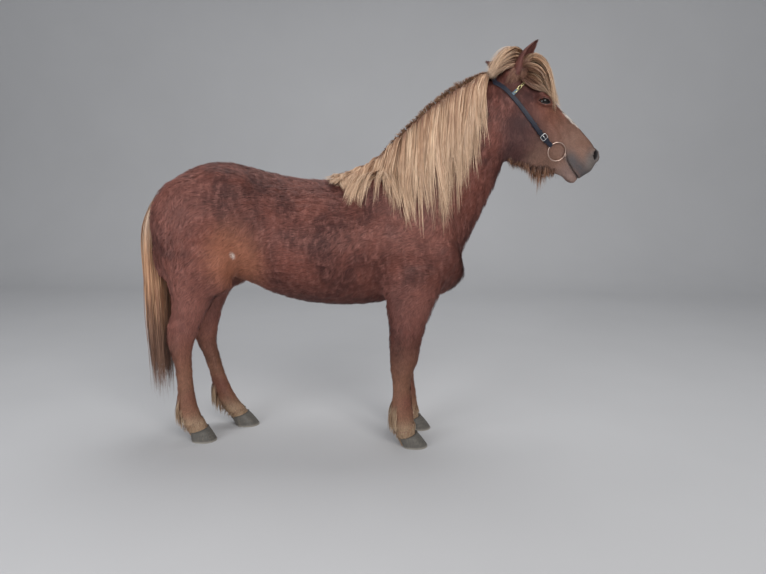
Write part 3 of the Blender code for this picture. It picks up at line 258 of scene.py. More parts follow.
class Finish:
    """A material's node tree, with short ways to add nodes."""

    def __init__(self, name):
        self.material = bpy.data.materials.new(name)
        self.material.use_nodes = True
        self.nodes = self.material.node_tree.nodes
        self.links = self.material.node_tree.links
        self.surface = self.nodes["Principled BSDF"]

    def plug(self, socket, value):
        """Sets a socket to a number or colour, or links a value to it."""
        if isinstance(value, Socket):
            self.links.new(value.link, socket)
        elif isinstance(value, (tuple, list)) and socket.type == "RGBA" and len(value) == 3:
            socket.default_value = (*value, 1.0)
        else:
            socket.default_value = value

    def node(self, kind, settings=None, inputs=None, output=0):
        """Adds a node: settings first, then its sockets by place or by name."""
        made = self.nodes.new(kind)
        for key, value in (settings or {}).items():
            setattr(made, key, value)
        pairs = enumerate(inputs) if isinstance(inputs, list) else (inputs or {}).items()
        for key, value in pairs:
            self.plug(made.inputs[key], value)
        return Socket(self, made.outputs[output])

    def place(self):
        """The place on the horse, in metres."""
        return self.node("ShaderNodeTexCoord", output="Object")

    def noise(self, scale, detail=3.0, roughness=0.55, where=None, stretch=None, seed=0.0):
        """Soft noise from 0 to 1, finer with scale, drawn out along an axis by stretch."""
        where = where or self.place()
        if stretch or seed:
            moved = {"Vector": where, "Scale": stretch or (1, 1, 1), "Location": (seed, seed, 0)}
            where = self.node("ShaderNodeMapping", {}, moved)
        grain = {"Vector": where, "Scale": scale, "Detail": detail, "Roughness": roughness}
        return self.node("ShaderNodeTexNoise", {}, grain)

    def axes(self, where=None):
        """The three parts of a place."""
        split = self.node("ShaderNodeSeparateXYZ", {}, [where or self.place()])
        outputs = split.link.node.outputs
        return [Socket(self, outputs[i]) for i in range(3)]

    def attribute(self, name):
        """A number stored on the mesh."""
        return self.node("ShaderNodeAttribute", {"attribute_name": name}, output="Fac")

    def ball(self, centre, reach, squash=(1, 1, 1)):
        """1 at a centre, 0 from a reach on. Squash draws the ball out where it is under 1."""
        moved = self.node("ShaderNodeVectorMath", {"operation": "SUBTRACT"}, [self.place(), centre])
        moved = self.node("ShaderNodeVectorMath", {"operation": "MULTIPLY"}, [moved, squash])
        far = self.node("ShaderNodeVectorMath", {"operation": "LENGTH"}, [moved], output="Value")
        return far.between(reach, 0.0)

    def mix(self, share, first, second, blend="MIX"):
        """Two colours mixed by a share from 0 to 1."""
        made = self.nodes.new("ShaderNodeMix")
        made.data_type, made.blend_type = "RGBA", blend
        named = {s.identifier: s for s in made.inputs}
        self.plug(named["Factor_Float"], share)
        self.plug(named["A_Color"], first)
        self.plug(named["B_Color"], second)
        return Socket(self, next(s for s in made.outputs if s.identifier == "Result_Color"))

    def bump(self, height, distance, strength=1.0):
        """A normal roughened by a height."""
        inputs = {"Height": height, "Distance": distance, "Strength": strength}
        return self.node("ShaderNodeBump", {}, inputs)

    def finish(self, colour, roughness=0.5, metallic=0.0, normal=None, **constants):
        """Plugs in the surface. Constants go straight to the shader's own sockets."""
        self.plug(self.surface.inputs["Base Color"], colour)
        self.plug(self.surface.inputs["Roughness"], roughness)
        self.plug(self.surface.inputs["Metallic"], metallic)
        if normal is not None:
            self.plug(self.surface.inputs["Normal"], normal)
        for name, value in constants.items():
            self.plug(self.surface.inputs[name.replace("_", " ")], value)
        return self.material


def finished(obj, look, sharp=None):
    """Shades a piece smooth, but for edges sharper than an angle in degrees, and paints it."""
    obj.data.shade_smooth()
    if sharp:
        obj.data.set_sharp_from_angle(angle=math.radians(sharp))
    obj.data.materials.append(look)
    return obj


print("shader maths ready")


# %% Floor and light
def studio():
    """A pale floor that curves up into a backdrop."""
    depth = [(-9.0, 0.0), (4.2, 0.0)]
    for i in range(1, 9):
        turn = math.radians(90.0 * i / 8)
        depth.append((4.2 + 1.6 * math.sin(turn), 1.6 - 1.6 * math.cos(turn)))
    depth.append((5.8, 9.0))
    points = [(x, y, z) for y, z in depth for x in (-14.0, 14.0)]
    faces = [(2 * i, 2 * i + 1, 2 * i + 3, 2 * i + 2) for i in range(len(depth) - 1)]
    floor = mesh_object("floor", points, faces)
    look = Finish("pale_floor")
    tone = look.mix(look.noise(1.3, 2.0), (0.52, 0.52, 0.53), (0.56, 0.56, 0.57))
    finished(floor, look.finish(tone, 0.75))


def soft_light(name, place, target, size, power, colour):
    """A square lamp that faces a target."""
    data = bpy.data.lights.new(name, "AREA")
    data.size, data.energy, data.color = size, power, colour
    lamp = bpy.data.objects.new(name, data)
    lamp.location = place
    aim = Vector(target) - Vector(place)
    lamp.rotation_euler = aim.to_track_quat("-Z", "Y").to_euler()
    bpy.context.scene.collection.objects.link(lamp)


def sky(strength):
    """An even grey-white surround, like a clouded sky."""
    world = bpy.data.worlds.new("sky")
    bpy.context.scene.world = world
    world.use_nodes = True
    background = world.node_tree.nodes["Background"]
    background.inputs["Color"].default_value = (0.93, 0.96, 1.0, 1.0)
    background.inputs["Strength"].default_value = strength


studio()
soft_light("main_light", (2.2, -4.8, 3.9), (0.1, 0.0, 0.9), 3.4, 190, (1.0, 0.985, 0.96))
soft_light("fill_light", (-3.6, -4.2, 2.2), (-0.3, 0.0, 0.9), 3.2, 125, (0.97, 0.98, 1.0))
soft_light("top_light", (0.0, 1.6, 5.4), (0.0, 0.0, 1.0), 3.2, 90, (1.0, 1.0, 1.0))
sky(0.34)
bpy.context.scene.view_settings.view_transform = "Standard"
print("studio set")

# %% [markdown]
# ## The form under the coat
#
# The body is first described by sections, like the frames of a boat: each row of a table gives the
# top and the bottom of one section and how wide it is high up, in the middle and low down. Smooth
# curves run through the rows. The rows are the same as those of the CAD model, so the two agree,
# and the mesh made from them is only finer. The head has a frame of its own, because a horse
# carries its head at an angle: s runs along it from the poll to the lips, t up to the forehead.

# %% Sections of the trunk, neck, head and legs
POLL = Vector((0.665, 0.0, 1.815))
HEAD_PITCH = math.radians(46.3)
HEAD_ALONG = Vector((math.cos(HEAD_PITCH), 0.0, -math.sin(HEAD_PITCH)))
HEAD_UP = Vector((math.sin(HEAD_PITCH), 0.0, math.cos(HEAD_PITCH)))

# Torso sections: top (x, z), bottom (x, z), half widths high, middle and low, squareness.
TORSO = [
    ((-1.020, 1.205), (-1.025, 1.040), 0.045, 0.075, 0.050, 0.95),
    ((-0.975, 1.300), (-0.990, 0.950), 0.110, 0.165, 0.110, 0.90),
    ((-0.900, 1.356), (-0.910, 0.880), 0.165, 0.225, 0.150, 0.85),
    ((-0.800, 1.398), (-0.800, 0.850), 0.195, 0.255, 0.175, 0.85),
    ((-0.700, 1.412), (-0.690, 0.845), 0.200, 0.262, 0.175, 0.85),
    ((-0.580, 1.393), (-0.575, 0.805), 0.185, 0.250, 0.170, 0.88),
    ((-0.450, 1.358), (-0.445, 0.750), 0.170, 0.262, 0.185, 0.90),
    ((-0.300, 1.331), (-0.300, 0.712), 0.160, 0.285, 0.200, 0.92),
    ((-0.150, 1.327), (-0.150, 0.698), 0.150, 0.290, 0.195, 0.94),
    ((-0.010, 1.350), (0.000, 0.702), 0.115, 0.272, 0.180, 0.96),
    ((0.090, 1.375), (0.130, 0.722), 0.085, 0.250, 0.160, 0.98),
    ((0.190, 1.345), (0.250, 0.748), 0.085, 0.228, 0.150, 0.98),
    ((0.290, 1.260), (0.360, 0.744), 0.095, 0.195, 0.135, 0.95),
    ((0.380, 1.140), (0.450, 0.788), 0.095, 0.158, 0.118, 0.92),
    ((0.460, 1.035), (0.506, 0.850), 0.060, 0.096, 0.066, 0.92),
]

NECK = [
    ((-0.020, 1.330), (0.380, 0.900), 0.080, 0.190, 0.130, 0.95),
    ((0.060, 1.395), (0.468, 0.935), 0.060, 0.180, 0.125, 0.95),
    ((0.150, 1.490), (0.520, 1.030), 0.048, 0.150, 0.105, 0.95),
    ((0.250, 1.592), (0.566, 1.130), 0.044, 0.124, 0.088, 0.95),
    ((0.350, 1.680), (0.612, 1.230), 0.044, 0.106, 0.078, 0.95),
    ((0.460, 1.752), (0.652, 1.325), 0.044, 0.096, 0.072, 0.95),
    ((0.560, 1.793), (0.684, 1.420), 0.044, 0.090, 0.066, 0.95),
    ((0.640, 1.812), (0.730, 1.520), 0.040, 0.080, 0.055, 0.95),
]

# Head sections: s and t of the top, s and t of the bottom, half widths, squareness.
HEAD = [
    ((-0.040, -0.010), (0.060, -0.120), 0.040, 0.060, 0.040, 0.90),
    ((0.000, 0.010), (0.130, -0.190), 0.056, 0.082, 0.052, 0.85),
    ((0.060, 0.045), (0.195, -0.240), 0.068, 0.090, 0.056, 0.80),
    ((0.120, 0.068), (0.255, -0.262), 0.074, 0.097, 0.058, 0.78),
    ((0.180, 0.079), (0.305, -0.262), 0.077, 0.100, 0.054, 0.76),
    ((0.240, 0.080), (0.350, -0.248), 0.070, 0.096, 0.048, 0.76),
    ((0.300, 0.078), (0.390, -0.222), 0.056, 0.086, 0.043, 0.78),
    ((0.360, 0.080), (0.430, -0.192), 0.045, 0.073, 0.038, 0.80),
    ((0.420, 0.083), (0.468, -0.164), 0.039, 0.061, 0.034, 0.82),
    ((0.480, 0.083), (0.510, -0.140), 0.037, 0.055, 0.032, 0.84),
    ((0.530, 0.079), (0.548, -0.122), 0.038, 0.055, 0.032, 0.86),
    ((0.572, 0.069), (0.580, -0.105), 0.036, 0.053, 0.030, 0.88),
    ((0.598, 0.048), (0.602, -0.080), 0.028, 0.042, 0.024, 0.90),
    ((0.610, 0.022), (0.612, -0.048), 0.014, 0.022, 0.012, 0.90),
]

# Leg sections, hoof to body: front (x, z), back (x, z), y, half widths, squareness.
FORELEG = [
    ((0.275, 0.035), (0.190, 0.000), 0.118, 0.040, 0.048, 0.034, 0.95),
    ((0.262, 0.075), (0.172, 0.040), 0.118, 0.040, 0.048, 0.034, 0.95),
    ((0.258, 0.115), (0.150, 0.085), 0.118, 0.034, 0.043, 0.032, 0.95),
    ((0.253, 0.160), (0.137, 0.135), 0.118, 0.034, 0.044, 0.032, 0.95),
    ((0.249, 0.210), (0.135, 0.195), 0.119, 0.032, 0.041, 0.026, 0.95),
    ((0.241, 0.270), (0.146, 0.265), 0.120, 0.029, 0.035, 0.021, 0.95),
    ((0.240, 0.335), (0.143, 0.335), 0.121, 0.031, 0.038, 0.024, 0.95),
    ((0.251, 0.385), (0.137, 0.385), 0.122, 0.040, 0.048, 0.032, 0.90),
    ((0.272, 0.440), (0.132, 0.445), 0.123, 0.042, 0.051, 0.034, 0.90),
    ((0.289, 0.530), (0.128, 0.535), 0.125, 0.044, 0.056, 0.038, 0.92),
    ((0.313, 0.620), (0.124, 0.625), 0.128, 0.050, 0.066, 0.047, 0.92),
    ((0.348, 0.705), (0.112, 0.710), 0.133, 0.060, 0.078, 0.056, 0.92),
    ((0.390, 0.800), (0.105, 0.800), 0.140, 0.066, 0.086, 0.066, 0.92),
    ((0.415, 0.900), (0.130, 0.900), 0.140, 0.066, 0.090, 0.070, 0.92),
]

HINDLEG = [
    ((-0.795, 0.050), (-0.885, 0.005), 0.112, 0.038, 0.046, 0.033, 0.95),
    ((-0.812, 0.092), (-0.905, 0.045), 0.112, 0.038, 0.046, 0.033, 0.95),
    ((-0.832, 0.130), (-0.932, 0.090), 0.112, 0.033, 0.042, 0.031, 0.95),
    ((-0.848, 0.175), (-0.952, 0.145), 0.112, 0.033, 0.043, 0.031, 0.95),
    ((-0.858, 0.225), (-0.956, 0.205), 0.112, 0.031, 0.040, 0.025, 0.95),
    ((-0.866, 0.300), (-0.952, 0.290), 0.112, 0.028, 0.034, 0.021, 0.95),
    ((-0.868, 0.390), (-0.958, 0.385), 0.113, 0.031, 0.036, 0.023, 0.95),
    ((-0.866, 0.460), (-0.974, 0.455), 0.115, 0.039, 0.046, 0.028, 0.90),
    ((-0.846, 0.520), (-0.992, 0.555), 0.118, 0.042, 0.050, 0.022, 0.90),
    ((-0.815, 0.590), (-0.972, 0.640), 0.121, 0.044, 0.054, 0.022, 0.92),
    ((-0.775, 0.670), (-0.952, 0.725), 0.126, 0.056, 0.072, 0.040, 0.92),
    ((-0.720, 0.745), (-0.965, 0.820), 0.133, 0.070, 0.092, 0.062, 0.92),
    ((-0.665, 0.830), (-0.992, 0.930), 0.140, 0.084, 0.112, 0.080, 0.92),
    ((-0.650, 0.940), (-1.020, 1.040), 0.142, 0.090, 0.115, 0.090, 0.92),
    ((-0.660, 1.060), (-1.015, 1.140), 0.138, 0.080, 0.110, 0.080, 0.92),
]

# Muscles that stand out under the coat: centre, radii, pitch in degrees about Y.
MUSCLES = [
    ((0.170, 0.118, 1.120), (0.260, 0.078, 0.120), 52.0),
    ((0.385, 0.098, 0.965), (0.095, 0.080, 0.120), 0.0),
    ((0.215, 0.150, 0.900), (0.150, 0.065, 0.135), 30.0),
    ((-0.850, 0.130, 1.140), (0.180, 0.118, 0.210), 20.0),
    ((-0.745, 0.155, 0.985), (0.130, 0.085, 0.210), -15.0),
    ((-0.950, 0.105, 1.030), (0.080, 0.085, 0.200), 10.0),
    ((-0.695, 0.150, 0.860), (0.075, 0.062, 0.100), 0.0),
    ((-0.640, 0.125, 1.280), (0.150, 0.090, 0.095), 10.0),
]
print("rows:", len(TORSO), len(NECK), len(HEAD), len(FORELEG), len(HINDLEG))


# %% Sections turned into closed forms
SECTION_SIDES = 28
STEPS_BETWEEN = 5


def head_point(s, t, y=0.0):
    """A point given in the head's own frame."""
    point = POLL + HEAD_ALONG * s + HEAD_UP * t
    point.y = y
    return point


def section(top, bottom, y, high, middle, low, square, sides=SECTION_SIDES):
    """One ring in the plane of the line top to bottom and the Y axis."""
    ring = []
    for i in range(sides):
        turn = math.tau * i / sides
        down = (1.0 - math.cos(turn)) / 2.0
        width = high * (2 * down - 1) * (down - 1)
        width += middle * 4 * down * (1 - down)
        width += low * down * (2 * down - 1)
        across = math.copysign(abs(math.sin(turn)) ** square, math.sin(turn)) * width
        x = top[0] + (bottom[0] - top[0]) * down
        z = top[1] + (bottom[1] - top[1]) * down
        ring.append((x, y + across, z))
    return ring


def smooth_rows(rows, steps=STEPS_BETWEEN):
    """Rows of numbers, with steps - 1 more between each two, on a smooth curve."""
    rows = np.array(rows, float)
    ends = np.vstack([2 * rows[0] - rows[1], rows, 2 * rows[-1] - rows[-2]])
    made = []
    for i in range(1, len(ends) - 2):
        a, b, c, d = ends[i - 1 : i + 3]
        for k in range(steps):
            u = k / steps
            bend = (2 * a - 5 * b + 4 * c - d) * u**2 + (3 * b - a - 3 * c + d) * u**3
            made.append(0.5 * (2 * b + (c - a) * u + bend))
    made.append(rows[-1])
    return made


def loft(name, rings):
    """A closed body through rings of equal count, with flat ends."""
    count = len(rings[0])
    points = [p for ring in rings for p in ring]
    faces = [tuple(range(count))[::-1], tuple(range(len(points) - count, len(points)))]
    for r in range(len(rings) - 1):
        for i in range(count):
            j = (i + 1) % count
            faces.append((r * count + i, r * count + j, (r + 1) * count + j, (r + 1) * count + i))
    return facing_out(mesh_object(name, points, faces))


def trunk(name, stations):
    """A body on the middle plane from its sections."""
    rows = [(*top, *bottom, *rest) for top, bottom, *rest in stations]
    rings = [section(r[0:2], r[2:4], 0.0, *r[4:8]) for r in smooth_rows(rows)]
    return loft(name, rings)


def skull(name):
    """The head without its bumps and hollows."""
    rows = [(*top, *bottom, *rest) for top, bottom, *rest in HEAD]
    rings = []
    for r in smooth_rows(rows):
        top, bottom = head_point(r[0], r[1]), head_point(r[2], r[3])
        rings.append(section((top.x, top.z), (bottom.x, bottom.z), 0.0, *r[4:8]))
    return loft(name, rings)


def leg(name, stations, side, stride):
    """A leg on one side. stride(z) moves it along X."""
    rows = [(*front, *back, *rest) for front, back, *rest in stations]
    rings = []
    for r in smooth_rows(rows):
        front, back = (r[0] + stride(r[1]), r[1]), (r[2] + stride(r[3]), r[3])
        rings.append(section(front, back, side * r[4], *r[5:9]))
    return loft(name, rings)


def blob(name, centre, radii, pitch=0.0, rings=16, sides=24):
    """An ellipsoid, its X radius turned down by pitch degrees."""
    shape = bmesh.new()
    turn = Matrix.Rotation(math.radians(pitch), 4, "Y")
    place = Matrix.Translation(centre) @ turn @ Matrix.Diagonal((*radii, 1.0))
    bmesh.ops.create_uvsphere(shape, u_segments=sides, v_segments=rings, radius=1.0, matrix=place)
    obj = mesh_object(name, [], [])
    shape.to_mesh(obj.data)
    shape.free()
    return obj


print("a section has", SECTION_SIDES, "corners, with", STEPS_BETWEEN, "rings for each row of a table")


# %% Where the forms flow into each other
def near(points, centre, radius):
    """1 at a centre, falling to 0 at a radius."""
    far = np.linalg.norm(points - np.array(centre), axis=1) / radius
    return np.clip(1.0 - far, 0.0, 1.0)


# Places where the forms flow into each other: centre, radius.
BLENDS = [
    ((0.700, 0.0, 1.480), 0.20),
    ((0.600, 0.0, 1.780), 0.12),
    ((0.420, 0.0, 0.960), 0.26),
    ((0.150, 0.0, 1.200), 0.32),
    ((0.260, 0.0, 0.760), 0.24),
    ((-0.700, 0.0, 0.840), 0.26),
    ((-0.980, 0.0, 1.100), 0.22),
    ((-0.820, 0.0, 1.050), 0.30),
]


def junction_strength(points):
    """How far each place is smoothed: strong on the trunk, slight on the head and lower legs."""
    strength = np.full(len(points), 0.34)
    for centre, radius in BLENDS:
        flat = points.copy()
        flat[:, 1] *= 0.6
        strength = np.maximum(strength, np.clip(1.6 * near(flat, centre, radius), 0.0, 0.6))
    legs = np.clip((points[:, 2] - 0.50) / 0.25, 0.0, 1.0)
    head = np.clip((0.80 - points[:, 0]) / 0.12, 0.0, 1.0)
    return strength * np.minimum(0.12 + 0.88 * legs, 0.09 + 0.91 * head)


print("the forms are smoothed at", len(BLENDS), "places")


# %% Legs, muscles and the bumps of the head
def near_stride(z):
    """The right legs stand as their tables say."""
    return 0.0


def far_fore_stride(z):
    """The left fore foot stands a little ahead of the right one."""
    return 0.018 * max(0.0, 1.0 - z / 0.75)


def far_hind_stride(z):
    """The left hind foot stands ahead of the right one."""
    return 0.165 * max(0.0, 1.0 - z / 0.75) ** 1.2


def flesh_forms():
    """The overlapping closed forms that make up the body."""
    forms = [trunk("trunk", TORSO), trunk("neck_form", NECK), skull("skull")]
    for rows, left_stride in ((FORELEG, far_fore_stride), (HINDLEG, far_hind_stride)):
        forms.append(leg("leg", rows, -1, near_stride))
        forms.append(leg("leg", rows, 1, left_stride))
    for centre, radii, pitch in MUSCLES:
        for side in (-1, 1):
            forms.append(blob("muscle", (centre[0], side * centre[1], centre[2]), radii, pitch))
    return forms + head_forms()


LIDS = Vector((0.839, 0.072, 1.676))

# Bumps on both sides of the head: s, t and y, radii along, across and up, pitch in degrees.
SIDE_BUMPS = [
    (0.265, -0.125, 0.048, (0.105, 0.045, 0.100), 0.0),
    (0.215, 0.040, 0.062, (0.048, 0.026, 0.026), 0.0),
    (0.300, -0.018, 0.066, (0.105, 0.018, 0.014), 6.0),
    (0.558, 0.036, 0.034, (0.046, 0.024, 0.034), 0.0),
    (0.560, -0.020, 0.028, (0.050, 0.026, 0.034), 0.0),
]
MIDDLE_BUMPS = [
    (0.585, -0.012, 0.0, (0.034, 0.036, 0.040), 0.0),
    (0.562, -0.098, 0.0, (0.046, 0.030, 0.026), 0.0),
    (0.400, 0.058, 0.0, (0.150, 0.026, 0.026), 0.0),
]


def head_blob(s, t, y, radii, pitch):
    """An ellipsoid in the head's frame: radii along the head, across and up."""
    return blob("bump", head_point(s, t, y), radii, math.degrees(HEAD_PITCH) + pitch, 12, 18)


def head_forms():
    """Cheeks, brows, cheekbones, nostrils, lips and chin."""
    forms = []
    for side in (-1, 1):
        forms += [head_blob(s, t, side * y, radii, pitch) for s, t, y, radii, pitch in SIDE_BUMPS]
        forms.append(blob("lid", (LIDS.x, side * LIDS.y, LIDS.z), (0.033, 0.024, 0.027), 14.0, 12, 18))
        forms.append(head_blob(0.020, 0.008, side * 0.050, (0.045, 0.030, 0.040), 0.0))
    return forms + [head_blob(*bump) for bump in MIDDLE_BUMPS]


print("muscles:", len(MUSCLES), "bumps of the head:", len(SIDE_BUMPS), "and", len(MIDDLE_BUMPS))

# %% [markdown]
# ## One skin over everything
#
# The forms overlap like lumps of clay. A voxel remesh melts them into one closed surface, and a few
# dozen rounds of smoothing let the muscles flow into each other, strongly on the trunk and hardly at
# all on the head. The CAD model was measured over the coat, so the skin is then drawn in by the
# depth of the coat: a centimetre on the trunk, hardly anything on the muzzle. Fine triangles are
# kept where the eye looks for detail, at the lids, nostrils and lips, and spent nowhere else.

# %% From clay to skin
FORM_GRID = 0.006
SMOOTHING_ROUNDS = 60
SKIN_TRIANGLES = 80000


def relaxed(mesh, points, rounds, strength):
    """Moves each vertex towards the middle of its neighbours, by a share from 0 to 1."""
    pairs = np.empty(len(mesh.edges) * 2, int)
    mesh.edges.foreach_get("vertices", pairs)
    a, b = pairs[0::2], pairs[1::2]
    count = len(points)
    degree = np.maximum(np.bincount(a, minlength=count) + np.bincount(b, minlength=count), 1)
    share = strength[:, None]
    for _ in range(rounds):
        middle = np.empty_like(points)
        for axis in range(3):
            total = np.bincount(a, points[b, axis], count) + np.bincount(b, points[a, axis], count)
            middle[:, axis] = total / degree
        points = points + (middle - points) * share
    return points


def set_points(mesh, points):
    """Moves all vertices of a mesh."""
    mesh.vertices.foreach_set("co", np.asarray(points, float).ravel())
    mesh.update()


def head_frame(points):
    """How far along the head (s) and up from its axis (t) each point is."""
    from_poll = points - np.array(POLL)
    return from_poll @ np.array(HEAD_ALONG), from_poll @ np.array(HEAD_UP)


def head_share(points):
    """1 on the head, 0 behind it, soft between."""
    return np.clip((points[:, 0] - 0.62) / 0.12, 0.0, 1.0) * (points[:, 2] > 1.15)


def coat_depth(points):
    """How thick the coat lies over each place, in metres."""
    s, _ = head_frame(points)
    body = np.interp(points[:, 2], [0.0, 0.10, 0.45, 0.75], [0.003, 0.004, 0.005, 0.009])
    face = np.interp(s, [-0.1, 0.1, 0.35, 0.5, 0.6], [0.007, 0.0045, 0.0032, 0.0018, 0.001])
    share = head_share(points)
    return body * (1.0 - share) + face * share


def melted_form():
    """The body as one smooth closed surface, measured over the coat."""
    form = joined("form", flesh_forms())
    remesh = form.modifiers.new("melt", "REMESH")
    remesh.mode = "VOXEL"
    remesh.voxel_size = FORM_GRID
    baked(form)
    points = vertex_array(form.data)
    set_points(form.data, relaxed(form.data, points, SMOOTHING_ROUNDS, junction_strength(points)))
    return form


def corner_array(mesh):
    """The three corners of each triangle of a mesh, as numbers of vertices."""
    mesh.calc_loop_triangles()
    corners = np.empty(len(mesh.loop_triangles) * 3, int)
    mesh.loop_triangles.foreach_get("vertices", corners)
    return corners.reshape(-1, 3)


def tree_of(obj):
    """A search tree of a mesh, for finding the nearest place on it."""
    return BVHTree.FromPolygons(vertex_array(obj.data).tolist(), corner_array(obj.data).tolist())


form = melted_form()
over_coat = tree_of(form)
print("form:", triangle_count(form), "triangles")


# %% Thin out the trunk, keep the head fine
def thinned(obj, triangles, keep):
    """Collapses edges to a triangle count. Places where keep is 1 stay as they are."""
    group = obj.vertex_groups.new(name="coarse")
    for value in np.unique(np.round(keep, 1)):
        chosen = np.nonzero(np.round(keep, 1) == value)[0].tolist()
        group.add(chosen, float(1.0 - value), "REPLACE")
    modifier = obj.modifiers.new("thin", "DECIMATE")
    modifier.ratio = triangles / triangle_count(obj)
    modifier.vertex_group = "coarse"
    modifier.vertex_group_factor = 1.0
    baked(obj)
    obj.vertex_groups.clear()
    return obj


def finer(obj, reaches):
    """Halves the edges that lie wholly within reach of an eye, a nostril or the lips."""
    shape = bmesh.new()
    shape.from_mesh(obj.data)
    points = vertex_array(obj.data)
    inside = near_place(points, EYE_PLACE, reaches[0]) | near_place(points, NOSTRIL_PLACE, reaches[1])
    inside |= near_lips(points, reaches[2])
    edges = [e for e in shape.edges if inside[e.verts[0].index] and inside[e.verts[1].index]]
    bmesh.ops.subdivide_edges(shape, edges=edges, cuts=1, use_grid_fill=True)
    bmesh.ops.triangulate(shape, faces=shape.faces)
    shape.to_mesh(obj.data)
    shape.free()
    return obj


EYE_PLACE = np.array([0.839, 0.0725, 1.676])
NOSTRIL_PLACE = np.array([1.084, 0.044, 1.438])
MOUTH_S = [0.466, 0.495, 0.525, 0.555, 0.585, 0.630]
MOUTH_T = [-0.052, -0.061, -0.069, -0.074, -0.076, -0.074]

# How near an eye, a nostril and the lips a place is, to be made finer once, twice and three times.
FINER_REACHES = [(0.066, 0.058, 0.022), (0.048, 0.040, 0.009), (0.031, 0.026, 0.0036)]


def both_sides(points):
    """The points with the left side folded onto the right, so one rule serves both."""
    return points * (1, 0, 1) + np.abs(points) * (0, 1, 0)


def from_mouth(points):
    """How far above the line of the lips each point is, and how far along the head."""
    s, t = head_frame(points)
    return t - np.interp(s, MOUTH_S, MOUTH_T), s


def near_place(points, place, reach):
    """Whether each point, on either side, is within reach of a place."""
    return np.linalg.norm(both_sides(points) - place, axis=1) < reach


def near_lips(points, reach):
    """Whether each point is within reach of the line of the lips."""
    above, s = from_mouth(points)
    return (np.abs(above) < reach) & (s > 0.455) & (s < 0.66)


form_head = head_share(vertex_array(form.data))
form_points = vertex_array(form.data)
set_points(form.data, form_points - normal_array(form.data) * coat_depth(form_points)[:, None])
keep = np.clip(form_head * 1.3 - 0.25, 0.0, 1.0)
skin = thinned(form, SKIN_TRIANGLES, keep)
print("thinned:", triangle_count(skin))
for reaches in FINER_REACHES:
    finer(skin, reaches)
print("skin:", triangle_count(skin), "triangles")

# %% [markdown]
# ## Lids, nostrils and lips
#
# These are pressed into the fine mesh as a sculptor would press them with a tool. Each tool is a
# rule on places: around the eye the rule finds how far a point is from the almond of the opening,
# as a multiple of the almond's size. Just outside 1 the skin follows the eyeball and then rises to
# the brow; inside 1 it dives behind the ball, and the edge between the two is the rim of the lid.

# %% Sculpting rules
EYEBALL = (0.0262, 0.0208, 0.0235)
OPENING = (0.0245, 0.0142, 0.0108)
OPENING_TILT = math.radians(-10.0)
LID_THICK = 0.0016


def smooth_step(x):
    """0 below 0, 1 above 1, smooth between."""
    x = np.clip(x, 0.0, 1.0)
    return x * x * (3.0 - 2.0 * x)


def bell(x, width):
    """A soft bump, 1 at 0."""
    return np.exp(-((x / width) ** 2))


def almond(points):
    """Each point's distance from the eye's middle, 1 at the rim of the lids, and its height."""
    along, up = points[:, 0] - EYE_PLACE[0], points[:, 2] - EYE_PLACE[2]
    a = along * math.cos(OPENING_TILT) + up * math.sin(OPENING_TILT)
    c = up * math.cos(OPENING_TILT) - along * math.sin(OPENING_TILT)
    height = np.where(c > 0, OPENING[1], OPENING[2])
    rr = (np.abs(a / OPENING[0]) ** 1.7 + np.abs(c / height) ** 1.7) ** (1 / 1.7)
    return np.maximum(rr, 0.001), c


def eyeball_front(along, up):
    """How far out the eyeball's front is beside a place."""
    inside = 1.0 - (along / EYEBALL[0]) ** 2 - (up / EYEBALL[2]) ** 2
    return EYE_PLACE[1] + EYEBALL[1] * np.sqrt(np.clip(inside, 0.0, 1.0))


def press_lids(points):
    """Opens the lids over the eyeball and folds the skin above them."""
    folded = both_sides(points)
    rr, up = almond(folded)
    here = near_place(points, EYE_PLACE, 0.075) & (rr < 3.0)
    along, high = (folded[:, 0] - EYE_PLACE[0]) / rr, (folded[:, 2] - EYE_PLACE[2]) / rr
    rim = eyeball_front(along, high) + LID_THICK
    share = smooth_step((rr - 1.0) / 1.15)
    outside = rim * (1 - share) + folded[:, 1] * share
    outside += 0.0022 * np.sin(np.pi * np.clip((rr - 1.0) / 1.15, 0, 1))
    upper = smooth_step(up / 0.008)
    lower = smooth_step(-up / 0.006)
    outside -= 0.0026 * bell(rr - 1.62, 0.13) * upper
    outside += 0.0012 * bell(rr - 1.95, 0.16) * upper
    outside -= 0.0014 * bell(rr - 2.30, 0.12) * upper
    outside -= 0.0012 * bell(rr - 1.75, 0.14) * lower
    inside = rim - 0.060 * (1.0 - np.minimum(rr, 1.0)) ** 0.85
    inside = np.maximum(inside, EYE_PLACE[1] - 0.010)
    out = np.where(rr >= 1.0, outside, inside)
    moved = points.copy()
    moved[here, 1] = (np.sign(points[:, 1]) * out)[here]
    return moved


NOSTRIL_OUT = np.array([0.56, 0.82, 0.10]) / np.linalg.norm([0.56, 0.82, 0.10])
NOSTRIL_LONG = np.array([0.30, -0.10, 0.95])


def nostril_distance(points):
    """Each point's distance from the nostril's middle, 1 at its rim."""
    long = NOSTRIL_LONG - NOSTRIL_OUT * (NOSTRIL_LONG @ NOSTRIL_OUT)
    long = long / np.linalg.norm(long)
    wide = np.cross(NOSTRIL_OUT, long)
    away = both_sides(points) - NOSTRIL_PLACE
    u, v = away @ long, away @ wide
    v = v - 10.0 * (u - 0.004) ** 2
    return np.sqrt((u / 0.024) ** 2 + (v / 0.0115) ** 2)


def press_nostrils(points):
    """Sinks the nostrils and raises their wings."""
    here = near_place(points, NOSTRIL_PLACE, 0.060)
    far = nostril_distance(points)
    depth = -0.026 * smooth_step((1.02 - far) / 0.55) + 0.0032 * bell(far - 1.25, 0.22)
    out = np.tile(NOSTRIL_OUT, (len(points), 1))
    out[:, 1] *= np.sign(points[:, 1])
    return points + out * (depth * here)[:, None]


